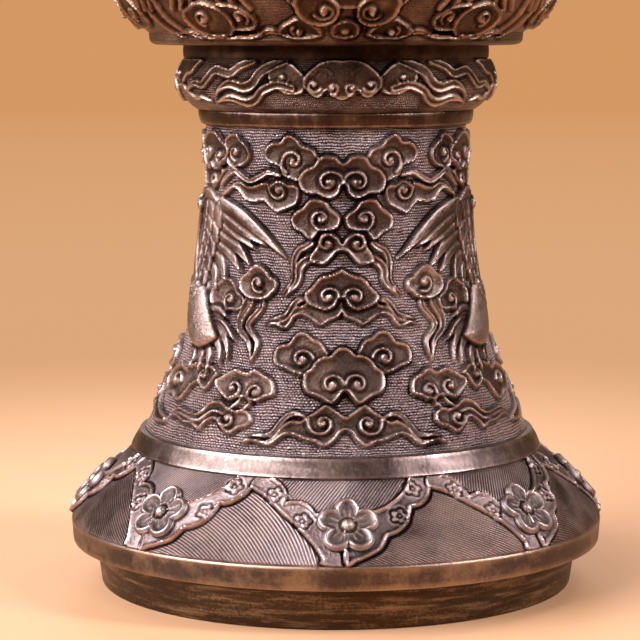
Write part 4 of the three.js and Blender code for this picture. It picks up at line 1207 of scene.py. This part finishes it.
def floor_material():
    """A pale floor that rises without a line into the backdrop."""
    material = bpy.data.materials.new("pale_floor")
    n = Nodes(material)
    where = n.add("TexCoord").outputs["Object"]
    colour = n.mix(n.noise(where, 14, 4, 0.6) * 0.5, (0.69, 0.392, 0.218), (0.62, 0.346, 0.186))
    normal = n.bump(n.noise(where, 260, 3), 0.0002, 0.25)
    shader = n.add("BsdfPrincipled", {"Base Color": colour, "Roughness": 0.55, "Normal": normal})
    # beyond the lit middle the floor is a glow seen by camera and glossy rays; it is paler nearer the vase, painted
    # light falling off across the floor
    far = n.add("VectorMath", {0: where}, operation="LENGTH").outputs["Value"]
    fade = n.add("MapRange", {"Value": far, "From Min": 0.13, "From Max": 0.5}, interpolation_type="SMOOTHSTEP")
    paler = n.add("MapRange", {"Value": far, "From Min": 4.0, "From Max": 0.7}).outputs[0]
    rays = n.add("LightPath").outputs
    bounced = n.math("MAXIMUM", rays["Is Glossy Ray"], rays["Is Transmission Ray"])
    seen = n.math("MAXIMUM", rays["Is Camera Ray"], bounced)
    glow = n.add("Emission", {"Color": n.mix(paler, backdrop, (0.72, 0.392, 0.2)), "Strength": 1.0})
    both = n.add("MixShader", {0: seen * fade.outputs[0], 1: shader.outputs[0], 2: glow.outputs[0]})
    n.add("OutputMaterial", {0: both.outputs[0]})
    return material


STEPS = 64
me = bpy.data.meshes.new("floor")
verts = [(0, 0, 0)]
for r in (0.3, 1.0, 4.0):
    verts += [(r * math.cos(2 * math.pi * k / STEPS), r * math.sin(2 * math.pi * k / STEPS), 0) for k in range(STEPS)]
faces = [(0, 1 + k, 1 + (k + 1) % STEPS) for k in range(STEPS)]
for q in (1, 1 + STEPS):
    faces += [(q + k, q + STEPS + k, q + STEPS + (k + 1) % STEPS, q + (k + 1) % STEPS) for k in range(STEPS)]
me.from_pydata(verts, [], faces)
me.materials.append(floor_material())
ground_plane = bpy.data.objects.new("floor", me)
bpy.context.scene.collection.objects.link(ground_plane)

LOOK_AT_Z = 0.12


def lamp(name, azimuth, elevation, distance, size, power, colour):
    """A soft box that looks at the lower middle of the vase."""
    light = bpy.data.lights.new(name, "AREA")
    light.shape, light.size, light.size_y, light.energy, light.color = "RECTANGLE", size[0], size[1], power, colour
    ob = bpy.data.objects.new(name, light)
    a, e = math.radians(azimuth), math.radians(elevation)
    ob.location = (distance * math.sin(a) * math.cos(e), -distance * math.cos(a) * math.cos(e),
                   LOOK_AT_Z + distance * math.sin(e))
    direction = ob.location.copy()
    direction.z -= LOOK_AT_Z
    ob.rotation_euler = direction.to_track_quat("Z", "Y").to_euler()
    bpy.context.scene.collection.objects.link(ob)


lamp("left_box", -64, 30, 1.3, (1.5, 0.9), 46, (0.95, 0.95, 1.0))
lamp("right_box", 66, 30, 1.5, (0.32, 0.8), 22, (0.95, 0.95, 1.0))
lamp("high_left", -112, 60, 1.5, (0.6, 0.6), 5, (1.0, 0.98, 0.98))
lamp("high_right", 122, 57, 1.5, (0.4, 0.5), 4, (1.0, 0.97, 0.94))
lamp("back_box", 180, 24, 1.5, (0.8, 0.9), 3, (1.0, 0.93, 0.88))

world = bpy.data.worlds.new("studio")
bpy.context.scene.world = world
n = Nodes(world)
rays = n.add("LightPath").outputs
seen = n.math("MAXIMUM", rays["Is Camera Ray"], rays["Is Transmission Ray"])
fill = n.add("Background", {0: (0.66, 0.36, 0.18), 1: 0.35})
shown = n.add("Background", {0: backdrop, 1: 1.0})
blend = n.add("MixShader", {0: seen, 1: fill.outputs[0], 2: shown.outputs[0]})
n.add("OutputWorld", {0: blend.outputs[0]})

view = bpy.data.cameras.new("camera")
view.sensor_width, view.sensor_fit, view.lens, view.shift_x = 36, "HORIZONTAL", 136.9, -0.025
camera = bpy.data.objects.new("camera", view)
turn, drop, away, up = math.radians(2.6), math.radians(6.84), 0.6845, 0.1553
camera.location = (-away * math.sin(turn), -away * math.cos(turn), up)
camera.rotation_euler = (math.pi / 2 - drop, 0, -turn)
bpy.context.scene.collection.objects.link(camera)
bpy.context.scene.camera = camera
bpy.context.scene.view_settings.view_transform = "Standard"
